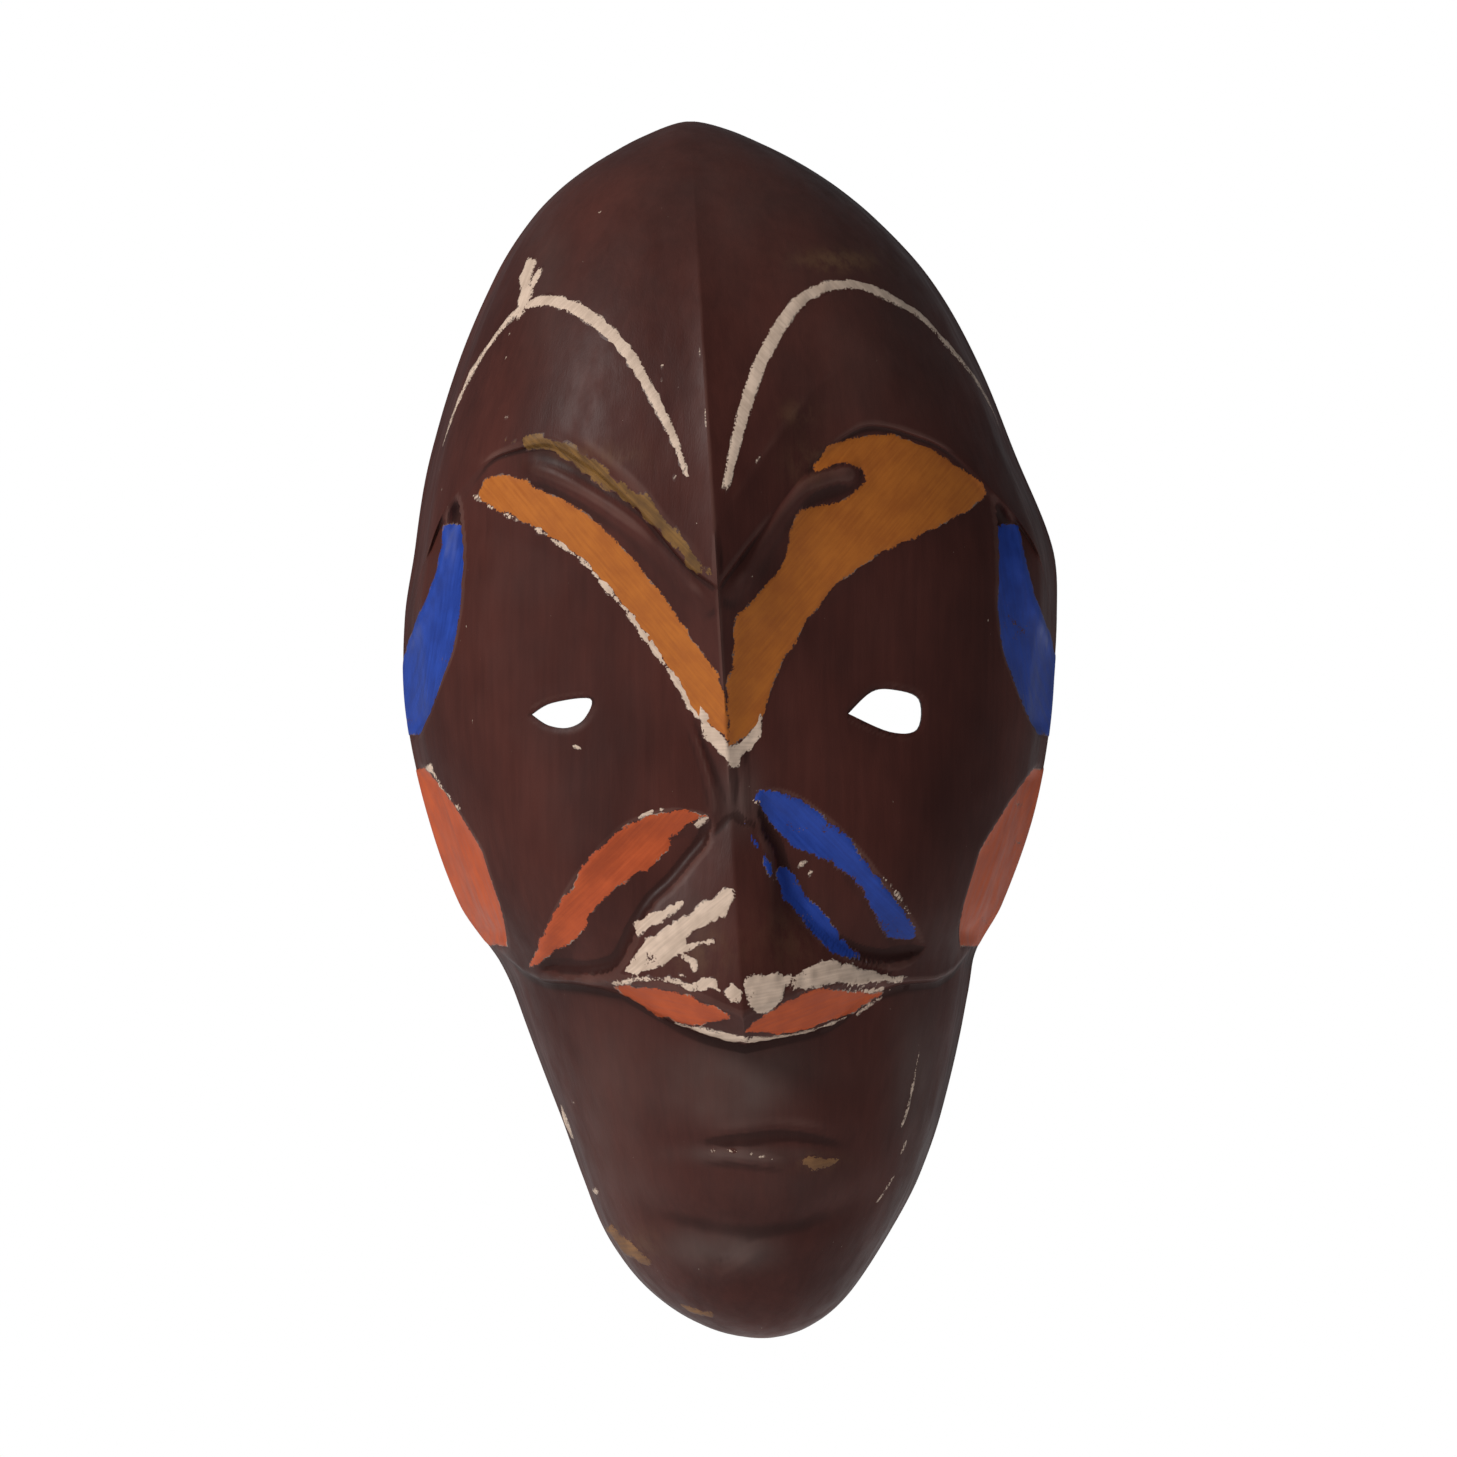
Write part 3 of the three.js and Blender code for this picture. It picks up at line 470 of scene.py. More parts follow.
# ---------------------------------------------------------------- the grid over the carved face
def row_heights(u):
    """Heights of the rows, which follow the foot of the head and the edge of the hood."""
    foot, hood = head_foot(u), hood_edge(u)
    bands = [
        (foot - STEP) * np.linspace(0, 1, JAW_ROWS)[:, None] ** 1.3,
        foot + STEP * np.linspace(-1, 1, STEP_ROWS)[1:-1, None],
        mix(foot + STEP, hood - STEP, np.linspace(0, 1, FACE_ROWS)[:, None]),
        hood + STEP * np.linspace(-1, 1, STEP_ROWS)[1:-1, None],
        HEIGHT - (HEIGHT - hood - STEP) * (1 - np.linspace(0, 1, FOREHEAD_ROWS)[:, None]) ** 1.4,
    ]
    return np.concatenate(bands)


# The columns are closer together towards the rim, where the face turns back to the wall.
evenly = np.linspace(-1, 1, COLUMNS)
u_grid = (np.sign(evenly) * np.sin(math.pi / 2 * np.abs(evenly) ** 1.1))[None, :]
h_grid = row_heights(u_grid)
u_grid = np.broadcast_to(u_grid, h_grid.shape).copy()
normal_grid = normal_at(u_grid, h_grid)
place_grid = point_at(u_grid, h_grid)
x_grid = place_grid[..., 0].copy()

# The eye holes' rounded edges, the carver's tool marks and the shallow hollows, fading out at the rim.
worn_edge = np.zeros_like(x_grid)
for outline in EYES.values():
    outside = -inside_distance(x_grid, h_grid, closed_curve(outline))
    worn_edge += 0.45 * np.clip(1 - outside / 1.2, 0, 1) ** 2
tool_marks = 0.12 * noise(x_grid, h_grid, 9, 1) + 0.05 * noise(x_grid, h_grid * 0.5, 3.5, 2)
inland = np.clip((1 - np.abs(u_grid)) / 0.03, 0, 1) * np.clip(h_grid / 4, 0, 1)
inland *= np.clip((HEIGHT - h_grid) / 4, 0, 1)
move = (tool_marks - worn_edge - scoop_at(u_grid, h_grid)) * inland
place_grid += normal_grid * move[..., None]
place_grid[:, [0, -1], 1] = 0


def grid_faces(rows, columns):
    """Four-cornered faces over a grid of points numbered row by row."""
    i = (np.arange(rows - 1)[:, None] * columns + np.arange(columns - 1)).ravel()
    return np.stack([i, i + 1, i + columns + 1, i + columns], axis=1)


def new_object(name, data):
    made = bpy.data.objects.new(name, data)
    bpy.context.scene.collection.objects.link(made)
    return made


def new_piece(name, points, faces, attributes=None):
    """An object made of points in millimetres, with a value at each point for each attribute."""
    mesh = bpy.data.meshes.new(name)
    places = (np.asarray(points, float).reshape(-1, 3) - [0, 0, ORIGIN_HEIGHT]) / 1000
    mesh.from_pydata(places.tolist(), [], [list(f) for f in faces])
    for key, values in (attributes or {}).items():
        layer = mesh.attributes.new(key, "FLOAT", "POINT")
        layer.data.foreach_set("value", np.asarray(values, np.float32).ravel())
    mesh.validate()
    return new_object(name, mesh)


def weld(piece, distance=1e-6):
    shape = bmesh.new()
    shape.from_mesh(piece.data)
    bmesh.ops.remove_doubles(shape, verts=shape.verts, dist=distance)
    bmesh.ops.recalc_face_normals(shape, faces=shape.faces)
    shape.to_mesh(piece.data)
    shape.free()


def cut(piece, cutters):
    """Takes the cutters out of the piece, then removes them."""
    for cutter in cutters:
        change = piece.modifiers.new("cut", "BOOLEAN")
        change.operation = "DIFFERENCE"
        change.solver = "MANIFOLD"
        change.object = cutter
    graph = bpy.context.evaluated_depsgraph_get()
    made = bpy.data.meshes.new_from_object(piece.evaluated_get(graph))
    piece.modifiers.clear()
    piece.data = made
    for cutter in cutters:
        bpy.data.objects.remove(cutter)


def smooth_shade(piece, degrees):
    mesh = piece.data
    mesh.polygons.foreach_set("use_smooth", [True] * len(mesh.polygons))
    mesh.set_sharp_from_angle(angle=math.radians(degrees))


def curvature(points, normals):
    """How far each point stands above (positive) or below its neighbours on the grid."""
    bent = np.zeros(points.shape[:2])
    for axis in (0, 1):
        mean = (np.roll(points, 2, axis) + np.roll(points, -2, axis)) / 2
        bent += np.einsum("ijk,ijk->ij", points - mean, normals)
    bent[:2], bent[-2:], bent[:, :2], bent[:, -2:] = 0, 0, 0, 0
    return bent


def prism(name, outline, y_from, y_to):
    """A closed prism along Y over an outline of (x, h)."""
    count = len(outline)
    ends = [np.column_stack([outline[:, 0], np.full(count, y), outline[:, 1]]) for y in (y_from, y_to)]
    ring = np.arange(count)
    following = np.roll(ring, -1)
    sides = np.stack([ring, ring + count, following + count, following], axis=1).tolist()
    piece = new_piece(name, np.concatenate(ends), [*sides, ring.tolist(), (ring[::-1] + count).tolist()])
    weld(piece)
    return piece


# ---------------------------------------------------------------- the wood
def hollow_cutter():
    """The inside of the hollow, gouged in long furrows along the grain."""
    rows, columns = 150, 130
    k = np.linspace(0, 1, rows)[:, None]
    j = np.linspace(0, 1, columns)[None, :]
    h = mix(HOLLOW_LOW, HOLLOW_HIGH, (1 - np.cos(math.pi * k)) / 2)
    u = -np.cos(math.pi * j)
    rise, swell = np.sin(math.pi * k).clip(0), np.sin(math.pi * j).clip(0)
    half = np.maximum(fullness(h) * width_factor(h), RIM + 1)
    x = centre_x(h) + (across_at(u, h) - centre_x(h)) * (1 - RIM / half) * rise**0.35
    h = np.broadcast_to(h, x.shape)
    furrow = np.abs(np.sin(math.pi * (x / GOUGE_WIDTH + 0.35 * noise(x, h, 34, 5))))
    gouge = GOUGE_DEPTH * furrow * (0.7 + 0.3 * noise(x, h, 17, 6))
    deep = HOLLOW_DEPTH * rise**0.75 * swell**0.85 - gouge * smooth(swell * rise * 3)
    deep = np.maximum(deep, 0)
    front = np.stack([x, -deep, h], axis=-1).reshape(-1, 3)
    mouth = front * [1, 0, 1] + [0, 3, 0]
    count = rows * columns
    quads = grid_faces(rows, columns)
    faces = [*quads.tolist(), *(quads[:, ::-1] + count).tolist()]
    edge = [*range(columns), *range(2 * columns - 1, count, columns)]
    edge += [*range(count - 2, count - columns - 1, -1), *range(count - 2 * columns, 0, -columns)]
    for a, b in zip(edge, edge[1:] + edge[:1]):
        faces.append([b, a, a + count, b + count])
    values = {"inner": np.ones(2 * count), "furrow": np.tile(furrow.ravel(), 2)}
    piece = new_piece("hollow", np.concatenate([front, mouth]), faces, values)
    weld(piece, 2e-6)
    return piece


def pocket_cutter():
    """The recess for the hanger: square below and round above, where the ring stands up."""
    plate_low = np.array(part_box("hanger_plate")[0]) * 1000
    ring_low, ring_high = (np.array(c) * 1000 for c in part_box("hanger_ring"))
    margin = 3.5  # around the ring, in both its positions
    half = ring_high[0] + margin - WIRE
    hinge = ring_high[2] - WIRE + ORIGIN_HEIGHT
    top = hinge + (hinge - ring_low[2] - ORIGIN_HEIGHT) + margin
    bottom = plate_low[2] + ORIGIN_HEIGHT - margin
    angles = np.linspace(0, math.pi, 25)
    arch = np.column_stack([half * np.cos(angles), top - half + half * np.sin(angles)])
    outline = np.concatenate([[(-half, bottom), (half, bottom)], arch])
    return prism("pocket", outline, plate_low[1] - 0.3, 3)


def make_wood():
    """The carved head with its hollow, recess and eye holes, and what its surface needs stored."""
    rows, columns = x_grid.shape
    bent = curvature(place_grid, normal_grid)
    # The ridge and groove values also set the painted highlight on crests and the painted shade in creases.
    outer = {"ridge": np.clip(bent, 0, 1), "groove": np.clip(-bent, 0, 1), "inner": np.zeros_like(bent)}
    outer |= {"painted_sheen": patches(PAINTED_SHEEN), "rubbed": patches(RUBBED), "furrow": np.zeros_like(bent)}
    front = grid_faces(rows, columns).tolist()
    starts = range(0, (rows - 1) * columns, columns)
    back = [[i, i + columns, i + 2 * columns - 1, i + columns - 1] for i in starts]
    wood = new_piece("mask_wood", place_grid, [*front, *back], outer)
    weld(wood, 2e-6)
    eyes = [prism(f"eye_{side}", closed_curve(outline), -90, 3) for side, outline in EYES.items()]
    cut(wood, [hollow_cutter(), pocket_cutter(), *eyes])
    smooth_shade(wood, 50)
    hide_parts("mask_body")
    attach(wood, "mask")
    return wood


# ---------------------------------------------------------------- the hanger
def swept(name, sections):
    """A closed round piece from rows of points, each row a ring that ends where it starts."""
    sections = np.array(sections)
    rows, columns = sections.shape[:2]
    piece = new_piece(name, sections, grid_faces(rows, columns))
    weld(piece, 2e-6)
    return piece


def arc(x, h, radius, start, end, steps):
    angles = np.radians(np.linspace(start, end, steps))
    return np.column_stack([x + radius * np.cos(angles), h + radius * np.sin(angles)])


def make_ring():
    """The wire ring: a straight bar in the knuckle, two short sides and a round bow."""
    low, high = (np.array(c) * 1000 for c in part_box("hanger_ring"))
    half = high[0] - WIRE
    hinge = high[2] - WIRE + ORIGIN_HEIGHT
    bow = low[2] + WIRE + ORIGIN_HEIGHT + half
    corner = 2.2
    line = np.concatenate([
        arc(half - corner, hinge - corner, corner, 90, 0, 10),
        arc(0, bow, half, 0, -180, 49),
        arc(corner - half, hinge - corner, corner, 180, 90, 10),
    ])
    way = np.roll(line, -1, axis=0) - np.roll(line, 1, axis=0)
    outward = np.column_stack([way[:, 1], -way[:, 0]]) / np.linalg.norm(way, axis=1, keepdims=True)
    turn = np.linspace(0, 2 * math.pi, 21)
    reach, rise = WIRE * np.cos(turn), (low[1] + high[1]) / 2 + WIRE * np.sin(turn)
    sections = []
    for (x, h), (out_x, out_h) in zip([*line, line[0]], [*outward, outward[0]]):
        sections.append(np.column_stack([x + out_x * reach, rise, h + out_h * reach]))
    return swept("ring_wire", sections)


def make_screw(node, degrees):
    """A round-headed wood screw with a slot at an angle."""
    low, high = (np.array(c) * 1000 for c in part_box(node))
    x, h = (low[0] + high[0]) / 2, (low[2] + high[2]) / 2 + ORIGIN_HEIGHT
    head, shank, head_high = (high[0] - low[0]) / 2, 1.4, 1.3
    seat = high[1] - head_high
    quarter = np.linspace(0, math.pi / 2, 9)
    dome = [(head * math.cos(t), seat + 0.2 + (head_high - 0.2) * math.sin(t)) for t in quarter]
    profile = [(0, low[1]), (shank, low[1] + 4), (shank, seat), (head, seat), *dome]
    turn = np.linspace(0, 2 * math.pi, 41)
    sections = [
        np.column_stack([x + r * np.cos(turn), np.full(41, y), h + r * np.sin(turn)]) for r, y in profile
    ]
    screw = swept(f"{node}_turned", sections)
    angle = math.radians(degrees)
    way = np.array([math.cos(angle), math.sin(angle)])
    side = np.array([-way[1], way[0]])
    corners = [(-3.5, -0.4), (3.5, -0.4), (3.5, 0.4), (-3.5, 0.4)]
    outline = np.array([(x, h) + a * way + b * side for a, b in corners])
    cut(screw, [prism("slot", outline, high[1] - 0.75, high[1] + 1)])
    return screw


# ---------------------------------------------------------------- the paint
def closed_film(name, keep, top, bottom, attributes):
    """A thin closed body over the kept cells of the grid, from a top and a bottom place at each point."""
    rows, columns = x_grid.shape
    quads = grid_faces(rows, columns)[keep.ravel()]
    used, quads = np.unique(quads, return_inverse=True)
    quads = quads.reshape(-1, 4)
    count = len(used)
    edges = np.concatenate([quads[:, [k, (k + 1) % 4]] for k in range(4)])
    known = {tuple(e) for e in edges.tolist()}
    border = [(a, b) for a, b in known if (b, a) not in known]
    sides = [[b, a, a + count, b + count] for a, b in sorted(border)]
    points = np.concatenate([top.reshape(-1, 3)[used], bottom.reshape(-1, 3)[used]])
    faces = [*quads.tolist(), *(quads[:, ::-1] + count).tolist(), *sides]
    values = {key: np.tile(v.ravel()[used], 2) for key, v in attributes.items()}
    return new_piece(name, points, faces, values)


def make_film(name, paint, outlines, ragged, worn, angle, seed, node=None):
    """One coat of paint. Ragged is how far its edge wanders in mm, worn how much of it has flaked."""
    cover = np.full(x_grid.shape, -9.0)
    for outline in outlines:
        low, high = outline.min(axis=0) - 4, outline.max(axis=0) + 4
        near = (x_grid > low[0]) & (x_grid < high[0]) & (h_grid > low[1]) & (h_grid < high[1])
        cover[near] = np.maximum(cover[near], inside_distance(x_grid[near], h_grid[near], outline))
    near = cover > -6
    x, h = x_grid[near], h_grid[near]
    wander = 0.6 * noise(x, h, 2.6, seed) + 0.4 * noise(x, h, 1.1, seed + 1)
    flakes = 0.65 * noise(x, h, 4.5, seed + 2) + 0.35 * noise(x, h, 1.6, seed + 3)
    flaked = worn * 8 * (flakes - 0.75 + worn * 0.5)
    cover[near] = np.minimum(cover[near] + ragged * wander, np.where(worn > 0, -flaked + 0.3, 9))
    cells = np.maximum.reduce([cover[:-1, :-1], cover[1:, :-1], cover[:-1, 1:], cover[1:, 1:]])
    lumps = np.clip(noise(x_grid, h_grid, 1.7, seed + 4), -0.4, 1)
    thick = FILM * (1 + CREAM_BODY * (paint == "cream") * lumps)
    lift = mix(-0.12, thick, smooth(cover / 0.6 + 0.4))
    top = place_grid + normal_grid * lift[..., None]
    bottom = place_grid + normal_grid * FILM_BACK
    turn = math.radians(angle)
    attributes = {
        "cover": cover,
        "stroke": x_grid * math.cos(turn) + h_grid * math.sin(turn),
        "across": -x_grid * math.sin(turn) + h_grid * math.cos(turn),
    }
    film = closed_film(name, cells > -FILM_MARGIN, top, bottom, attributes)
    smooth_shade(film, 70)
    film.data.materials.append(LOOKS[paint])
    if node:
        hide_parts(node)
    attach(film, "mask")


# ---------------------------------------------------------------- materials
class Look:
    """A node-built material, with short names for the nodes that the surfaces here need."""

    def __init__(self, name):
        self.material = bpy.data.materials.new(name)
        self.material.use_nodes = True
        self.tree = self.material.node_tree
        self.tree.nodes.clear()
        output = self.tree.nodes.new("ShaderNodeOutputMaterial")
        self.shader = self.tree.nodes.new("ShaderNodeBsdfPrincipled")
        self.tree.links.new(self.shader.outputs[0], output.inputs["Surface"])

    def feed(self, socket, value):
        if isinstance(value, bpy.types.NodeSocket):
            self.tree.links.new(value, socket)
        elif socket.type == "RGBA":
            socket.default_value = (*value, 1)
        else:
            socket.default_value = value

    def node(self, kind, inputs, output=0, **settings):
        """The output of a new node, which has these settings and whose inputs are fed with these values."""
        node = self.tree.nodes.new(f"ShaderNode{kind}")
        for key, value in settings.items():
            setattr(node, key, value)
        for key, value in inputs.items():
            self.feed(node.inputs[key], value)
        return node.outputs[output]

    def place(self, stretch=(1, 1, 1)):
        """Position in millimetres, divided by stretch."""
        here = self.node("TexCoord", {}, "Object")
        return self.node("Mapping", {"Vector": here, "Scale": [1000 / s for s in stretch]})

    def along(self, axis, place):
        return self.node("SeparateXYZ", {0: place}, axis)

    def stored(self, name):
        return self.node("Attribute", {}, "Fac", attribute_name=name)

    def noise(self, where, detail=3.0, rough=0.55, twist=0.0):
        """Noise at a place, or at each position divided by a stretch in millimetres."""
        vector = self.place(where) if isinstance(where, tuple) else where
        inputs = {"Vector": vector, "Scale": 1, "Detail": detail, "Roughness": rough, "Distortion": twist}
        return self.node("TexNoise", inputs, "Fac")

    def times(self, a, b):
        return self.node("Math", {0: a, 1: b}, operation="MULTIPLY")

    def plus(self, a, b):
        return self.node("Math", {0: a, 1: b}, operation="ADD")

    def span(self, value, low, high, to_low=0.0, to_high=1.0):
        """Turns the values from low to high into values from to_low to to_high, with soft ends."""
        inputs = {"Value": value, "From Min": low, "From Max": high, "To Min": to_low, "To Max": to_high}
        return self.node("MapRange", inputs, "Result", interpolation_type="SMOOTHSTEP")

    def blend(self, share, a, b):
        """A colour between a and b."""
        return self.node("Mix", {0: share, 6: a, 7: b}, 2, data_type="RGBA")

    def weigh(self, share, a, b):
        """A number between a and b."""
        return self.node("Mix", {0: share, 2: a, 3: b})

    def bump(self, height, distance, strength):
        return self.node("Bump", {"Distance": distance / 1000, "Strength": strength, "Height": height})

    def finish(self, colour, roughness, normal=None, metallic=0.0, specular=0.5):
        values = {"Base Color": colour, "Roughness": roughness, "Metallic": metallic}
        values["Specular IOR Level"] = specular
        if normal is not None:
            values["Normal"] = normal
        for key, value in values.items():
            self.feed(self.shader.inputs[key], value)
        return self.material


DARK_WOOD = (0.041, 0.0120, 0.0098)
RED_WOOD = (0.090, 0.0262, 0.0198)
WEAR_AND_HIGHLIGHT = (0.24, 0.14, 0.115)
PAINTED_SHEEN_GREY = (0.112, 0.080, 0.072)
CREASE_SHADE = (0.018, 0.007, 0.006)
PRIMER = (0.62, 0.50, 0.40)
RUBBED_TAN = (0.15, 0.080, 0.042)
RAW_WOOD = (0.33, 0.205, 0.118)
DARK_BARE = (0.10, 0.052, 0.028)


def lacquer(look):
    """Colour, roughness and bump of the dark red-brown lacquered wood, with painted sheen, highlights and
    shade in the colour.
    """
    grain = look.noise((1.6, 1.6, 24), 4, 0.5, 0.4)
    clouds = look.noise((22, 22, 40), 3)
    fine = look.noise((0.35, 0.35, 1.6), 3)
    tone = look.plus(look.times(grain, 0.25), look.times(clouds, 0.85))
    colour = look.blend(look.span(tone, 0.25, 0.95), DARK_WOOD, RED_WOOD)
    # Lighter on the crests of the carving: wear, and a painted highlight along the ridges.
    ridge = look.span(look.stored("ridge"), 0.14, 0.5)
    wear_and_highlight = look.times(ridge, look.span(clouds, 0.35, 0.7, 0.3, 1))
    colour = look.blend(look.times(wear_and_highlight, 0.22), colour, WEAR_AND_HIGHLIGHT)
    mottle = look.noise((4, 4, 6), 5, 0.65)
    sheen_breakup = look.noise((9, 9, 12), 2, 0.5)
    # Painted sheen: grey patches in the colour that stand in for the lacquer's reflections.
    painted_sheen = look.times(look.stored("painted_sheen"), look.span(sheen_breakup, 0.25, 0.7, 0.6, 1.0))
    colour = look.blend(look.times(painted_sheen, 0.65), colour, PAINTED_SHEEN_GREY)
    rubbed = look.times(look.stored("rubbed"), look.span(mottle, 0.35, 0.65))
    colour = look.blend(rubbed, colour, RUBBED_TAN)
    # Painted shade: darker in the creases and hollows of the carving.
    colour = look.blend(look.span(look.stored("groove"), 0.03, 0.3, 0.0, 0.6), colour, CREASE_SHADE)
    specks = look.noise((0.7, 0.7, 1.1), 2, 0.5)
    spots = look.noise((14, 14, 14), 2)
    chips = look.times(look.span(specks, 0.76, 0.79), look.span(spots, 0.55, 0.68))
    colour = look.blend(look.times(chips, 0.7), colour, PRIMER)
    rough = look.span(look.noise((5, 5, 12), 4), 0.3, 0.75, 0.40, 0.54)
    height = look.plus(look.times(grain, 0.5), look.times(fine, 0.35))
    return colour, rough, look.bump(height, 0.12, 0.7)


def wood_look():
    look = Look("carved_wood")
    colour, rough, normal = lacquer(look)
    below_rim = look.span(look.along(1, look.place()), -0.5, -0.1, 1, 0)
    inner = look.times(look.span(look.stored("inner"), 0.4, 0.6), below_rim)
    fibre = look.noise((0.9, 0.9, 18), 6, 0.65, 0.3)
    bare = look.blend(look.span(fibre, 0.3, 0.75), (0.21, 0.12, 0.066), RAW_WOOD)
    bare = look.blend(look.span(look.stored("furrow"), 0.05, 0.8, 0.0, 0.5), bare, DARK_BARE)
    colour = look.blend(inner, colour, bare)
    rough = look.weigh(inner, rough, 0.78)
    return look.finish(colour, rough, normal, specular=0.12)


def paint_look(name, paint, shade, rough_low=0.42, rough_high=0.6, primer=0.5):
    """Brushed paint over the lacquer, with primer showing in a thin broken line at its chipped edge."""
    look = Look(name)
    colour, wood_rough, _ = lacquer(look)
    stretched = {0: look.times(look.stored("stroke"), 0.09), 1: look.times(look.stored("across"), 1.5)}
    bristles = look.noise(look.node("CombineXYZ", stretched), 4, 0.6)
    crumbs = look.noise((0.55, 0.55, 0.55), 3, 0.6)
    cover = look.plus(look.stored("cover"), look.span(crumbs, 0.2, 0.8, -0.55, 0.35))
    on_paint = look.span(cover, 0.02, 0.16)
    blotches = look.noise((6, 6, 6), 3)
    mixed = look.plus(look.times(bristles, 0.55), look.times(blotches, 0.5))
    coat = look.blend(look.span(mixed, 0.35, 0.72), shade, paint)
    coat = look.blend(look.times(look.span(bristles, 0.66, 0.74), 0.2), coat, shade)
    rim = look.times(look.span(cover, -0.35, -0.1), look.span(blotches, 0.48, 0.62))
    colour = look.blend(look.times(rim, primer), colour, PRIMER)
    colour = look.blend(on_paint, colour, coat)
    rough = look.weigh(on_paint, wood_rough, look.span(bristles, 0.3, 0.7, rough_low, rough_high))
    height = look.plus(look.times(bristles, 0.5), look.times(crumbs, 0.25))
    return look.finish(colour, rough, look.bump(height, 0.08, 0.5), specular=0.26)


def metal_look(name, colour, dull):
    look = Look(name)
    blotches = look.noise((2.5, 2.5, 2.5), 4)
    scratches = look.noise((0.12, 1.5, 1.5), 3)
    tone = look.blend(look.span(blotches, 0.35, 0.75), colour, dull)
    rough = look.span(scratches, 0.3, 0.7, 0.28, 0.48)
    return look.finish(tone, rough, look.bump(scratches, 0.02, 0.4), metallic=1.0)


# ---------------------------------------------------------------- make it
wood = make_wood()
wood.data.materials.clear()
wood.data.materials.append(wood_look())

LOOKS = {
    "ochre": paint_look("ochre_paint", (0.47, 0.142, 0.017), (0.36, 0.098, 0.013), primer=0.25),
    "olive": paint_look("olive_paint", (0.23, 0.113, 0.026), (0.10, 0.048, 0.015), primer=0.05),
    "blue": paint_look("blue_paint", (0.016, 0.058, 0.36), (0.010, 0.036, 0.24), primer=0.2),
    "red": paint_look("red_paint", (0.52, 0.092, 0.024), (0.38, 0.062, 0.017)),
    "cream": paint_look("cream_paint", (0.74, 0.57, 0.45), (0.52, 0.39, 0.30), 0.6, 0.75),
}

LOOKS["bare"] = paint_look("bare_wood", (0.27, 0.135, 0.055), (0.14, 0.065, 0.032), 0.6, 0.75, 0.0)

OCHRE_LEFT_EDGE = [(-63, 207), (-56, 202.5), (-49, 199.5), (-41, 194.5), (-34.5, 189), (-24.5, 177),
                   (-13.5, 161.5), (-8, 153), (0, 146)]

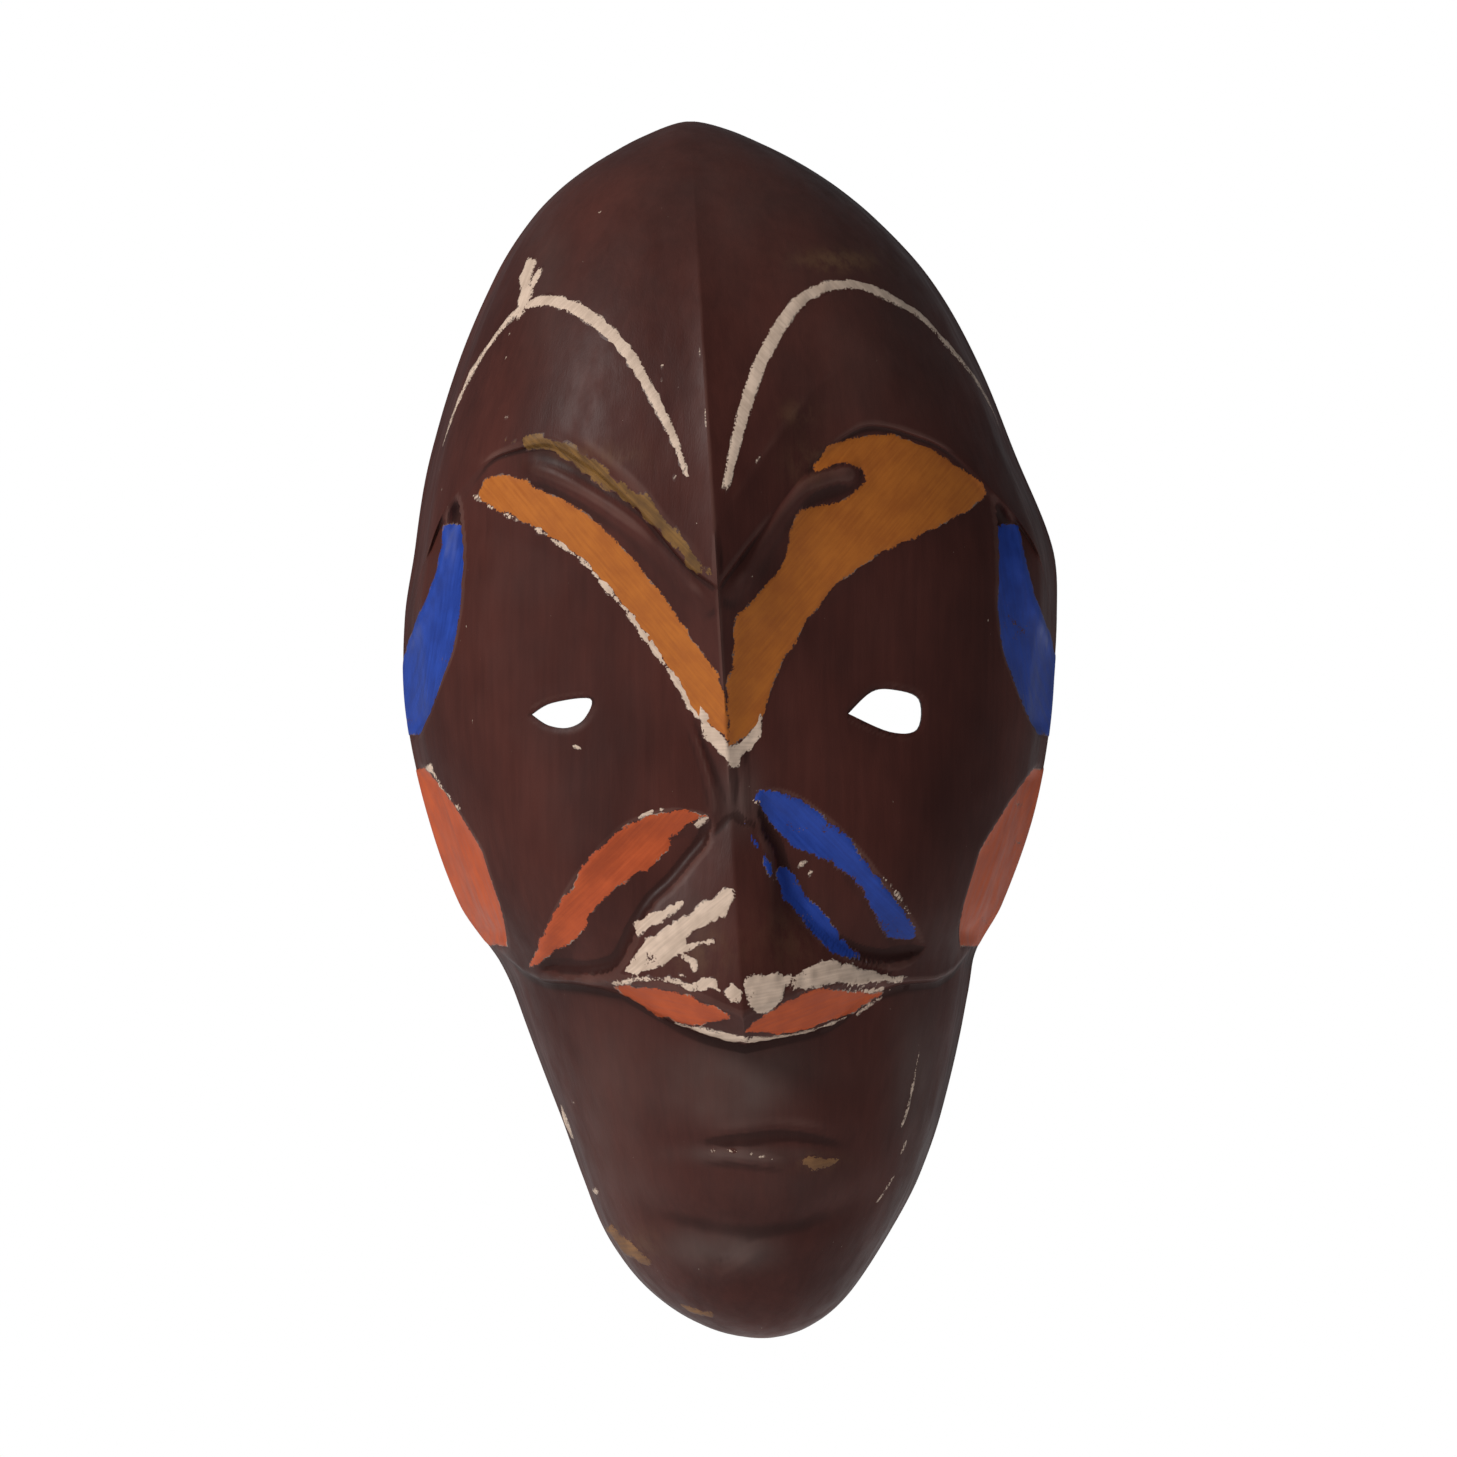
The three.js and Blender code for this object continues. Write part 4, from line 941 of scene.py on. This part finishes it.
# Each coat of paint: its paint, its outlines, how ragged and worn it is, and the angle of its brush strokes.
COATS = {
    "brow_ochre_left": ("ochre", [between(
        [(-63, 207), (-59, 211.5), (-53, 211.5), (-45, 207.5), (-36.5, 203), (-26.5, 194), (-15.5, 180.5),
         (-8, 169.5), (-2.5, 160.5), (0, 146)],
        OCHRE_LEFT_EDGE)], 0.7, 0.0, -50),
    "brow_ochre_right": ("ochre", [between(
        [(-1, 146), (-1.5, 154), (-1.3, 162), (-0.2, 166), (0.5, 176.5), (7, 184), (12.5, 191), (15, 202),
         (26.5, 205.5), (32, 210.5), (26.5, 214.5), (19.5, 212.5), (23.5, 218.5), (33.5, 221.5), (45, 219.5),
         (56, 213.5), (62.5, 207.5)],
        [(-1, 146), (6, 151), (9.5, 160), (15.5, 172), (20.5, 179.5), (25.5, 185.5), (32.5, 190), (39, 194),
         (54, 201), (62.5, 207.5)])], 0.8, 0.0, 50),
    "brow_cream_tip": ("cream", [between(
        [(-8.3, 157), (-4.3, 151), (-1, 146.8), (2.3, 147.8), (5.2, 150.8), (6.6, 157)],
        [(-8.3, 157), (-7, 148.5), (-3.7, 144), (0.5, 140.5), (3.2, 144), (7, 150.3),
         (6.6, 157)])], 0.9, 0.08, 0),
    "brow_olive_left": ("olive", [between(
        [(-56, 219.5), (-49, 221.5), (-43, 220.5), (-37, 217.5), (-29.5, 212), (-21.5, 206.5), (-14.5, 199.5),
         (-9, 192.5), (-5, 186.5)],
        [(-56, 219.5), (-46, 218), (-39, 214.5), (-32.5, 209.5), (-24.5, 203.5), (-17.5, 197), (-11, 189),
         (-5, 186.5)])], 1.5, 0.22, -45),
    "temple_blue_left": ("blue", [side_lens(-1, "temple")], 0.5, 0.15, 80),
    "temple_blue_right": ("blue", [side_lens(1, "temple")], 0.5, 0.15, -80),
    "cheek_red_left": ("red", [side_lens(-1, "cheek")], 0.4, 0.0, -70),
    "cheek_red_right": ("red", [side_lens(1, "cheek")], 0.6, 0.1, 70),
    "leaf_red_left": ("red", [between(
        [(-49.5, 92), (-47.5, 97.5), (-44, 104), (-40, 111), (-35.5, 117.5), (-29.5, 124), (-24.5, 127.5),
         (-17.5, 130), (-12, 130.5), (-6, 129)],
        [(-49.5, 92), (-43.5, 95.5), (-37.5, 100), (-33.5, 107), (-27.5, 112), (-20.5, 116.5), (-16, 120),
         (-15, 123.5), (-11, 126.5), (-6, 129)])], 0.9, 0.0, 45),
    "leaf_blue_right": ("blue", [between(
        [(5, 133), (7, 135.5), (12.5, 134.5), (19.5, 131), (26.5, 125), (32.5, 118), (38, 110.5), (43, 104),
         (45.5, 98)],
        [(5, 133), (9, 127.5), (13.5, 122.5), (19.5, 119.5), (25.5, 116.5), (30.5, 112), (34.5, 105.5),
         (39, 99), (45.5, 98)])], 0.8, 0.1, -45),
    "leaf_blue_right_lower": ("blue", [between(
        [(10, 117.5), (13.5, 116.5), (18.5, 109.5), (22.5, 105), (26.5, 99.5), (33.5, 93)],
        [(10, 117.5), (11.5, 110), (14.5, 106), (19, 100.5), (24.5, 96), (33.5, 93)])], 1.0, 0.2, -50),
    "nose_cream_left": ("cream", [
        between([(-28, 90), (-24.5, 95.5), (-19.5, 100.5), (-12.5, 104.5), (-6, 109), (-1.5, 111.5),
                 (1, 111)],
                [(-28, 90), (-20.5, 91.5), (-14.5, 95), (-10, 100), (-5, 103.5), (-1, 106), (1, 111)]),
        stroke([(-24, 101), (-18.5, 104.5), (-12, 108.5)], (3.4, 3, 1)),
        stroke([(-19.5, 92.5), (-12.5, 97), (-4.5, 99)], (2, 2.6, 0.6)),
        stroke([(-13.5, 95.5), (-9.5, 94), (-10, 91), (-13.5, 90.5)], (1.6, 1.4, 1.6, 1.2)),
        stroke([(-29.5, 88.4), (-21.5, 89.7), (-14.5, 89.5), (-9, 87.3), (-5, 88)],
               (0.6, 1.4, 1.0, 1.4, 0.6)),
        stroke([(-10.5, 87.5), (-5.5, 89), (-3, 86.8), (-0.5, 86.8), (1.5, 84.8), (-1, 84.6)],
               (1.2, 2.4, 1, 3, 1.4, 1.2)),
    ], 1.3, 0.2, 40),
    "nose_cream_right": ("cream", [
        between([(2, 90), (8, 91.5), (13.5, 90.5)],
                [(2, 90), (3, 85.5), (6, 81.5), (10, 82.5), (12.5, 86), (13.5, 90.5)]),
        between([(10.5, 90.5), (15.5, 91.5), (22.5, 94.5), (29.5, 92.5), (37.5, 91), (44.5, 89.5)],
                [(10.5, 90.5), (13.5, 87), (20.5, 88), (29.5, 88.5), (37.5, 88.5), (44.5, 89.5)]),
        stroke([(26.5, 87), (30.5, 85.8), (33.5, 86.5), (36.5, 87.5)], (0.6, 1.6, 1.8, 0.6)),
    ], 1.1, 0.12, 10),
    "lip_red_left": ("red", [between(
        [(-29.5, 88), (-23.5, 88.3), (-14.5, 86.8), (-8, 84.8), (0, 80.5)],
        [(-29.5, 88), (-23.5, 83.5), (-17.5, 80.5), (-10, 78.5), (0, 80.5)])], 0.9, 0.0, -15),
    "lip_red_right": ("red", [between(
        [(3, 77), (8, 81.5), (14.5, 85.5), (21.5, 87.5), (29.5, 86.5), (36.5, 86)],
        [(3, 77), (11.5, 76.5), (19.5, 78), (28.5, 81), (36.5, 86)])], 0.7, 0.0, 20),
    "lip_cream_edge": ("cream", [stroke(
        [(-14, 79), (-7, 77), (0, 75.4), (6, 75.2), (14, 76), (24, 78.8), (32.7, 82.7), (38.5, 87)],
        (0.5, 1.4, 2.3, 1.6, 0.9, 0.8, 0.8, 0.5))], 0.4, 0.0, 0),
    "forehead_line_left": ("cream", [stroke(
        [(-11, 210.5), (-14, 219.5), (-17.5, 227), (-21.5, 234.5), (-25.5, 241), (-30.5, 246.5),
         (-35.5, 250.5), (-41.5, 253.5), (-47.5, 254), (-51.5, 252.5), (-55.5, 249), (-59.5, 244),
         (-63.5, 238), (-66.5, 232), (-69.5, 224.5), (-71.5, 218.5)],
        (1.2, 2, 2.6, 3, 3.3, 3.4, 3.5, 3.4, 2.8, 1.8, 1.4, 1.2, 1.1, 0.9, 0.5, 0.2))], 0.2, 0.0, 45),
    "forehead_line_right": ("cream", [stroke(
        [(-2, 207.5), (1, 220.5), (3, 228), (6, 237), (10, 245), (14.5, 252), (20.5, 256.5), (26.5, 258),
         (32.5, 257.5), (39.5, 254.5), (45.5, 251), (50.5, 246), (55.5, 240.5), (59.5, 235.5), (63.5, 229),
         (65.5, 224.5)],
        (1.8, 3, 3.4, 3.6, 3.6, 3.4, 3, 2.6, 2.4, 2.2, 1.6, 1.2, 1.1, 0.8, 0.6, 0.2))], 0.2, 0.0, -45),
}
for number, (node, (paint, outlines, ragged, worn, angle)) in enumerate(COATS.items()):
    make_film(f"{node}_film", paint, outlines, ragged, worn, angle, 20 + 7 * number, node)

# Small flecks of cream paint, and a painted highlight along the keel, as x, h, length, width and angle.
FLECKS_AND_KEEL_HIGHLIGHT = [
    (-38, 145.6, 3.2, 0.8, -10), (-20, 152, 1.6, 0.9, 0), (-9.5, 72.6, 1.1, 0.7, 30),
    (-12, 69, 1.6, 0.8, 25), (-1.5, 71.5, 1.6, 0.8, 0), (5, 71, 1.0, 0.7, 0),
    (-33.8, 36.5, 1.7, 1.5, -30), (-17, 238, 1.9, 0.9, 75), (-13, 232.5, 1.0, 0.7, 0),
    (-22.5, 220.5, 1.2, 0.7, 45), (-14, 210.7, 1.7, 0.8, 30), (-55, 226, 1.4, 0.8, 80),
    (10, 218.5, 3.2, 0.6, 10), (-11.6, 186, 1.3, 0.9, -40), (7, 3.6, 1.0, 0.8, 0), (-39, 59, 1.0, 0.7, 0),
    (-54.5, 246, 2.4, 0.7, 80), (-55.3, 240.5, 1.4, 0.6, 80), (-27, 224.5, 1.2, 0.7, 20),
    (-27, 219, 1.0, 0.7, 60), (-17.5, 234, 1.4, 0.7, 70), (-32.5, 276, 1.3, 0.6, 45),
    # The two long thin marks at x -8.2 and -6.6 are a painted highlight beside the keel.
    (-8.2, 241, 4.5, 0.45, 96), (-6.6, 225, 7, 0.5, 95), (6, 215, 2.2, 0.6, 35), (-51, 197, 1.4, 0.8, 0),
]

# Smaller marks: drips, chipped edges that show the cream ground, flecks, painted highlights, and scrapes down
# to bare wood.
MARKS = {
    "knot_drip": ("cream", [
        stroke([(-52.8, 249), (-50.5, 255.5), (-50.8, 260), (-48.8, 264.8)], (1.4, 3.2, 3.4, 2.6)),
        stroke([(-49.5, 256.5), (-47.8, 260.5), (-46.5, 262.5)], (1.4, 2, 1.4)),
    ], 0.6, 0.0, 70),
    "chipped_brow_edge": ("cream", [
        stroke(OCHRE_LEFT_EDGE[:-1], (1.2, 0.7, 0.8, 1.0, 1.6, 1.3, 2.0, 2.4)),
    ], 0.9, 0.12, -50),
    "chipped_leaf_edges": ("cream", [
        stroke([(-23.5, 128.7), (-18.5, 130.4), (-14, 131.3)], (0.6, 1.3, 0.5)),
        stroke([(-9.5, 126.7), (-6, 129)], (1.8, 1.6)),
        stroke([(35, 116), (39.5, 110.5), (43, 105)], (0.5, 1.3, 0.5)),
        stroke([(5.3, 133.2), (7.5, 131.5)], (1.6, 0.8)),
        spot(17, 117.5, 2.8, 1.2, 20),
        spot(18.8, 115, 2.4, 2.0, 60),
        stroke([(-74.5, 141), (-70, 134), (-66.5, 130.5)], (1.8, 1.4, 0.5)),
    ], 0.7, 0.1, 0),
    "flecks_and_painted_highlights": ("cream", [
        *(spot(*fleck) for fleck in FLECKS_AND_KEEL_HIGHLIGHT),
        # These two thin cream strokes are a painted highlight on the edge of the lower lip.
        stroke([(-6, 47.6), (-2, 47.8), (1.5, 47.2)], (0.3, 0.8, 0.4)),
        stroke([(2.5, 46.8), (6, 46.6), (9.5, 45.8)], (0.3, 0.8, 0.3)),
        stroke([(45.6, 74), (44.6, 66), (42.8, 58), (40.8, 52)], (0.3, 0.6, 0.7, 0.3)),
        stroke([(42.6, 50), (41, 46)], (0.5, 0.4)),
        stroke([(40, 42), (37, 37), (34.6, 34)], (0.6, 0.5, 0.3)),
        stroke([(-42.4, 58), (-41.2, 54), (-39.2, 48.5)], (0.6, 1.3, 0.8)),
    ], 0.3, 0.0, 0),
    "blue_smear": ("blue", [
        stroke([(2.5, 128.5), (4.6, 124), (7.4, 119.5), (9.6, 113)], (0.4, 0.8, 1.3, 0.8)),
    ], 1.0, 0.35, -55),
    "bare_scrapes": ("bare", [
        stroke([(-30.6, 28), (-26, 23.5), (-20, 19)], (1.6, 3.6, 1.4)),
        stroke([(-14, 9.5), (-9.5, 7.6), (-5, 6.7)], (0.6, 1.6, 0.6)),
        between([(16, 45), (18.5, 46.3), (23.5, 45.8), (27, 45)], [(16, 45), (20, 42.8), (24, 44), (27, 45)]),
    ], 0.8, 0.12, 10),
}
for number, (name, (paint, outlines, ragged, worn, angle)) in enumerate(MARKS.items()):
    make_film(name, paint, outlines, ragged, worn, angle, 300 + 7 * number)

plating = metal_look("hanger_steel", (0.55, 0.47, 0.30), (0.40, 0.36, 0.27))
screw_metal = metal_look("screw_steel", (0.55, 0.55, 0.53), (0.38, 0.38, 0.37))
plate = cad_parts["hanger_plate"]
plate.data.materials.clear()
plate.data.materials.append(plating)
smooth_shade(plate, 40)
rounding = plate.modifiers.new("rounding", "BEVEL")
rounding.width = 0.00018
rounding.segments = 2
rounding.limit_method = "ANGLE"
rounding.angle_limit = math.radians(40)

hanger_pieces = {
    "hanger_ring": (make_ring(), "ring", "hanger_steel", plating),
    "hanger_screw_upper": (make_screw("hanger_screw_upper", 28), "mask", "screw_steel", screw_metal),
    "hanger_screw_lower": (make_screw("hanger_screw_lower", -55), "mask", "screw_steel", screw_metal),
}
for node, (piece, body, slot, metal) in hanger_pieces.items():
    piece.data.materials.append(metal)
    smooth_shade(piece, 40)
    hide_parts(node)
    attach(piece, body)

# ---------------------------------------------------------------- the stage, lights and camera
low, high = (np.array(c) for c in cad_box)
FRAME_WIDTH = 1.199 * (high[2] - low[2])
VIEW = (-0.0011, 0.0, (low[2] + high[2]) / 2 + 0.0002)
DISTANCE = 3.0


def make_floor():
    """A round pale floor under the mask, which fades into the background at its edge."""
    radius, drop = 5000, 350
    angles = np.linspace(0, 2 * math.pi, 65)[:-1]
    edge = np.column_stack([radius * np.cos(angles), radius * np.sin(angles), np.full(64, -drop)])
    floor = new_piece("floor", edge, [range(64)])
    look = Look("pale_floor")
    look.finish((0.86, 0.86, 0.86), 0.9)
    look.shader.inputs["Emission Color"].default_value = (1, 1, 1, 1)
    look.shader.inputs["Emission Strength"].default_value = 0.3
    place = look.place((radius,) * 3)
    squares = [look.times(look.along(axis, place), look.along(axis, place)) for axis in (0, 1)]
    look.feed(look.shader.inputs["Alpha"], look.span(look.plus(*squares), 0.1, 0.9, 1.0, 0.0))
    floor.data.materials.append(look.material)


def make_light():
    """A round lamp above, in front and to the left, which points at the mask."""
    light = bpy.data.lights.new("key", "AREA")
    light.shape = "DISK"
    light.size = 1.0
    light.energy = 60
    light.color = (1.0, 0.97, 0.94)
    lamp = new_object("key", light)
    lamp.location = (-2.0, -1.5, 1.35)
    aim = Vector(VIEW) - lamp.location
    lamp.rotation_euler = aim.to_track_quat("-Z", "Y").to_euler()


def make_world():
    """A dim dome that lights the mask, seen as white behind it."""
    world = bpy.data.worlds.new("studio")
    world.use_nodes = True
    nodes, links = world.node_tree.nodes, world.node_tree.links
    dome = nodes["Background"]
    dome.inputs["Color"].default_value = (0.93, 0.96, 1.0, 1)
    dome.inputs["Strength"].default_value = 0.17
    white = nodes.new("ShaderNodeBackground")
    white.inputs["Color"].default_value = (1, 1, 1, 1)
    choice = nodes.new("ShaderNodeMixShader")
    ray = nodes.new("ShaderNodeLightPath")
    links.new(ray.outputs["Is Camera Ray"], choice.inputs[0])
    links.new(dome.outputs[0], choice.inputs[1])
    links.new(white.outputs[0], choice.inputs[2])
    links.new(choice.outputs[0], nodes["World Output"].inputs["Surface"])
    return world


make_floor()
make_light()
bpy.context.scene.world = make_world()
bpy.context.scene.view_settings.view_transform = "Standard"

camera = new_object("camera", bpy.data.cameras.new("camera"))
camera.location = (VIEW[0], -DISTANCE, VIEW[2])
camera.rotation_euler = (math.pi / 2, 0, 0)
camera.data.sensor_width = 36
camera.data.lens = 36 * DISTANCE / FRAME_WIDTH
camera.data.clip_end = 20
bpy.context.scene.camera = camera
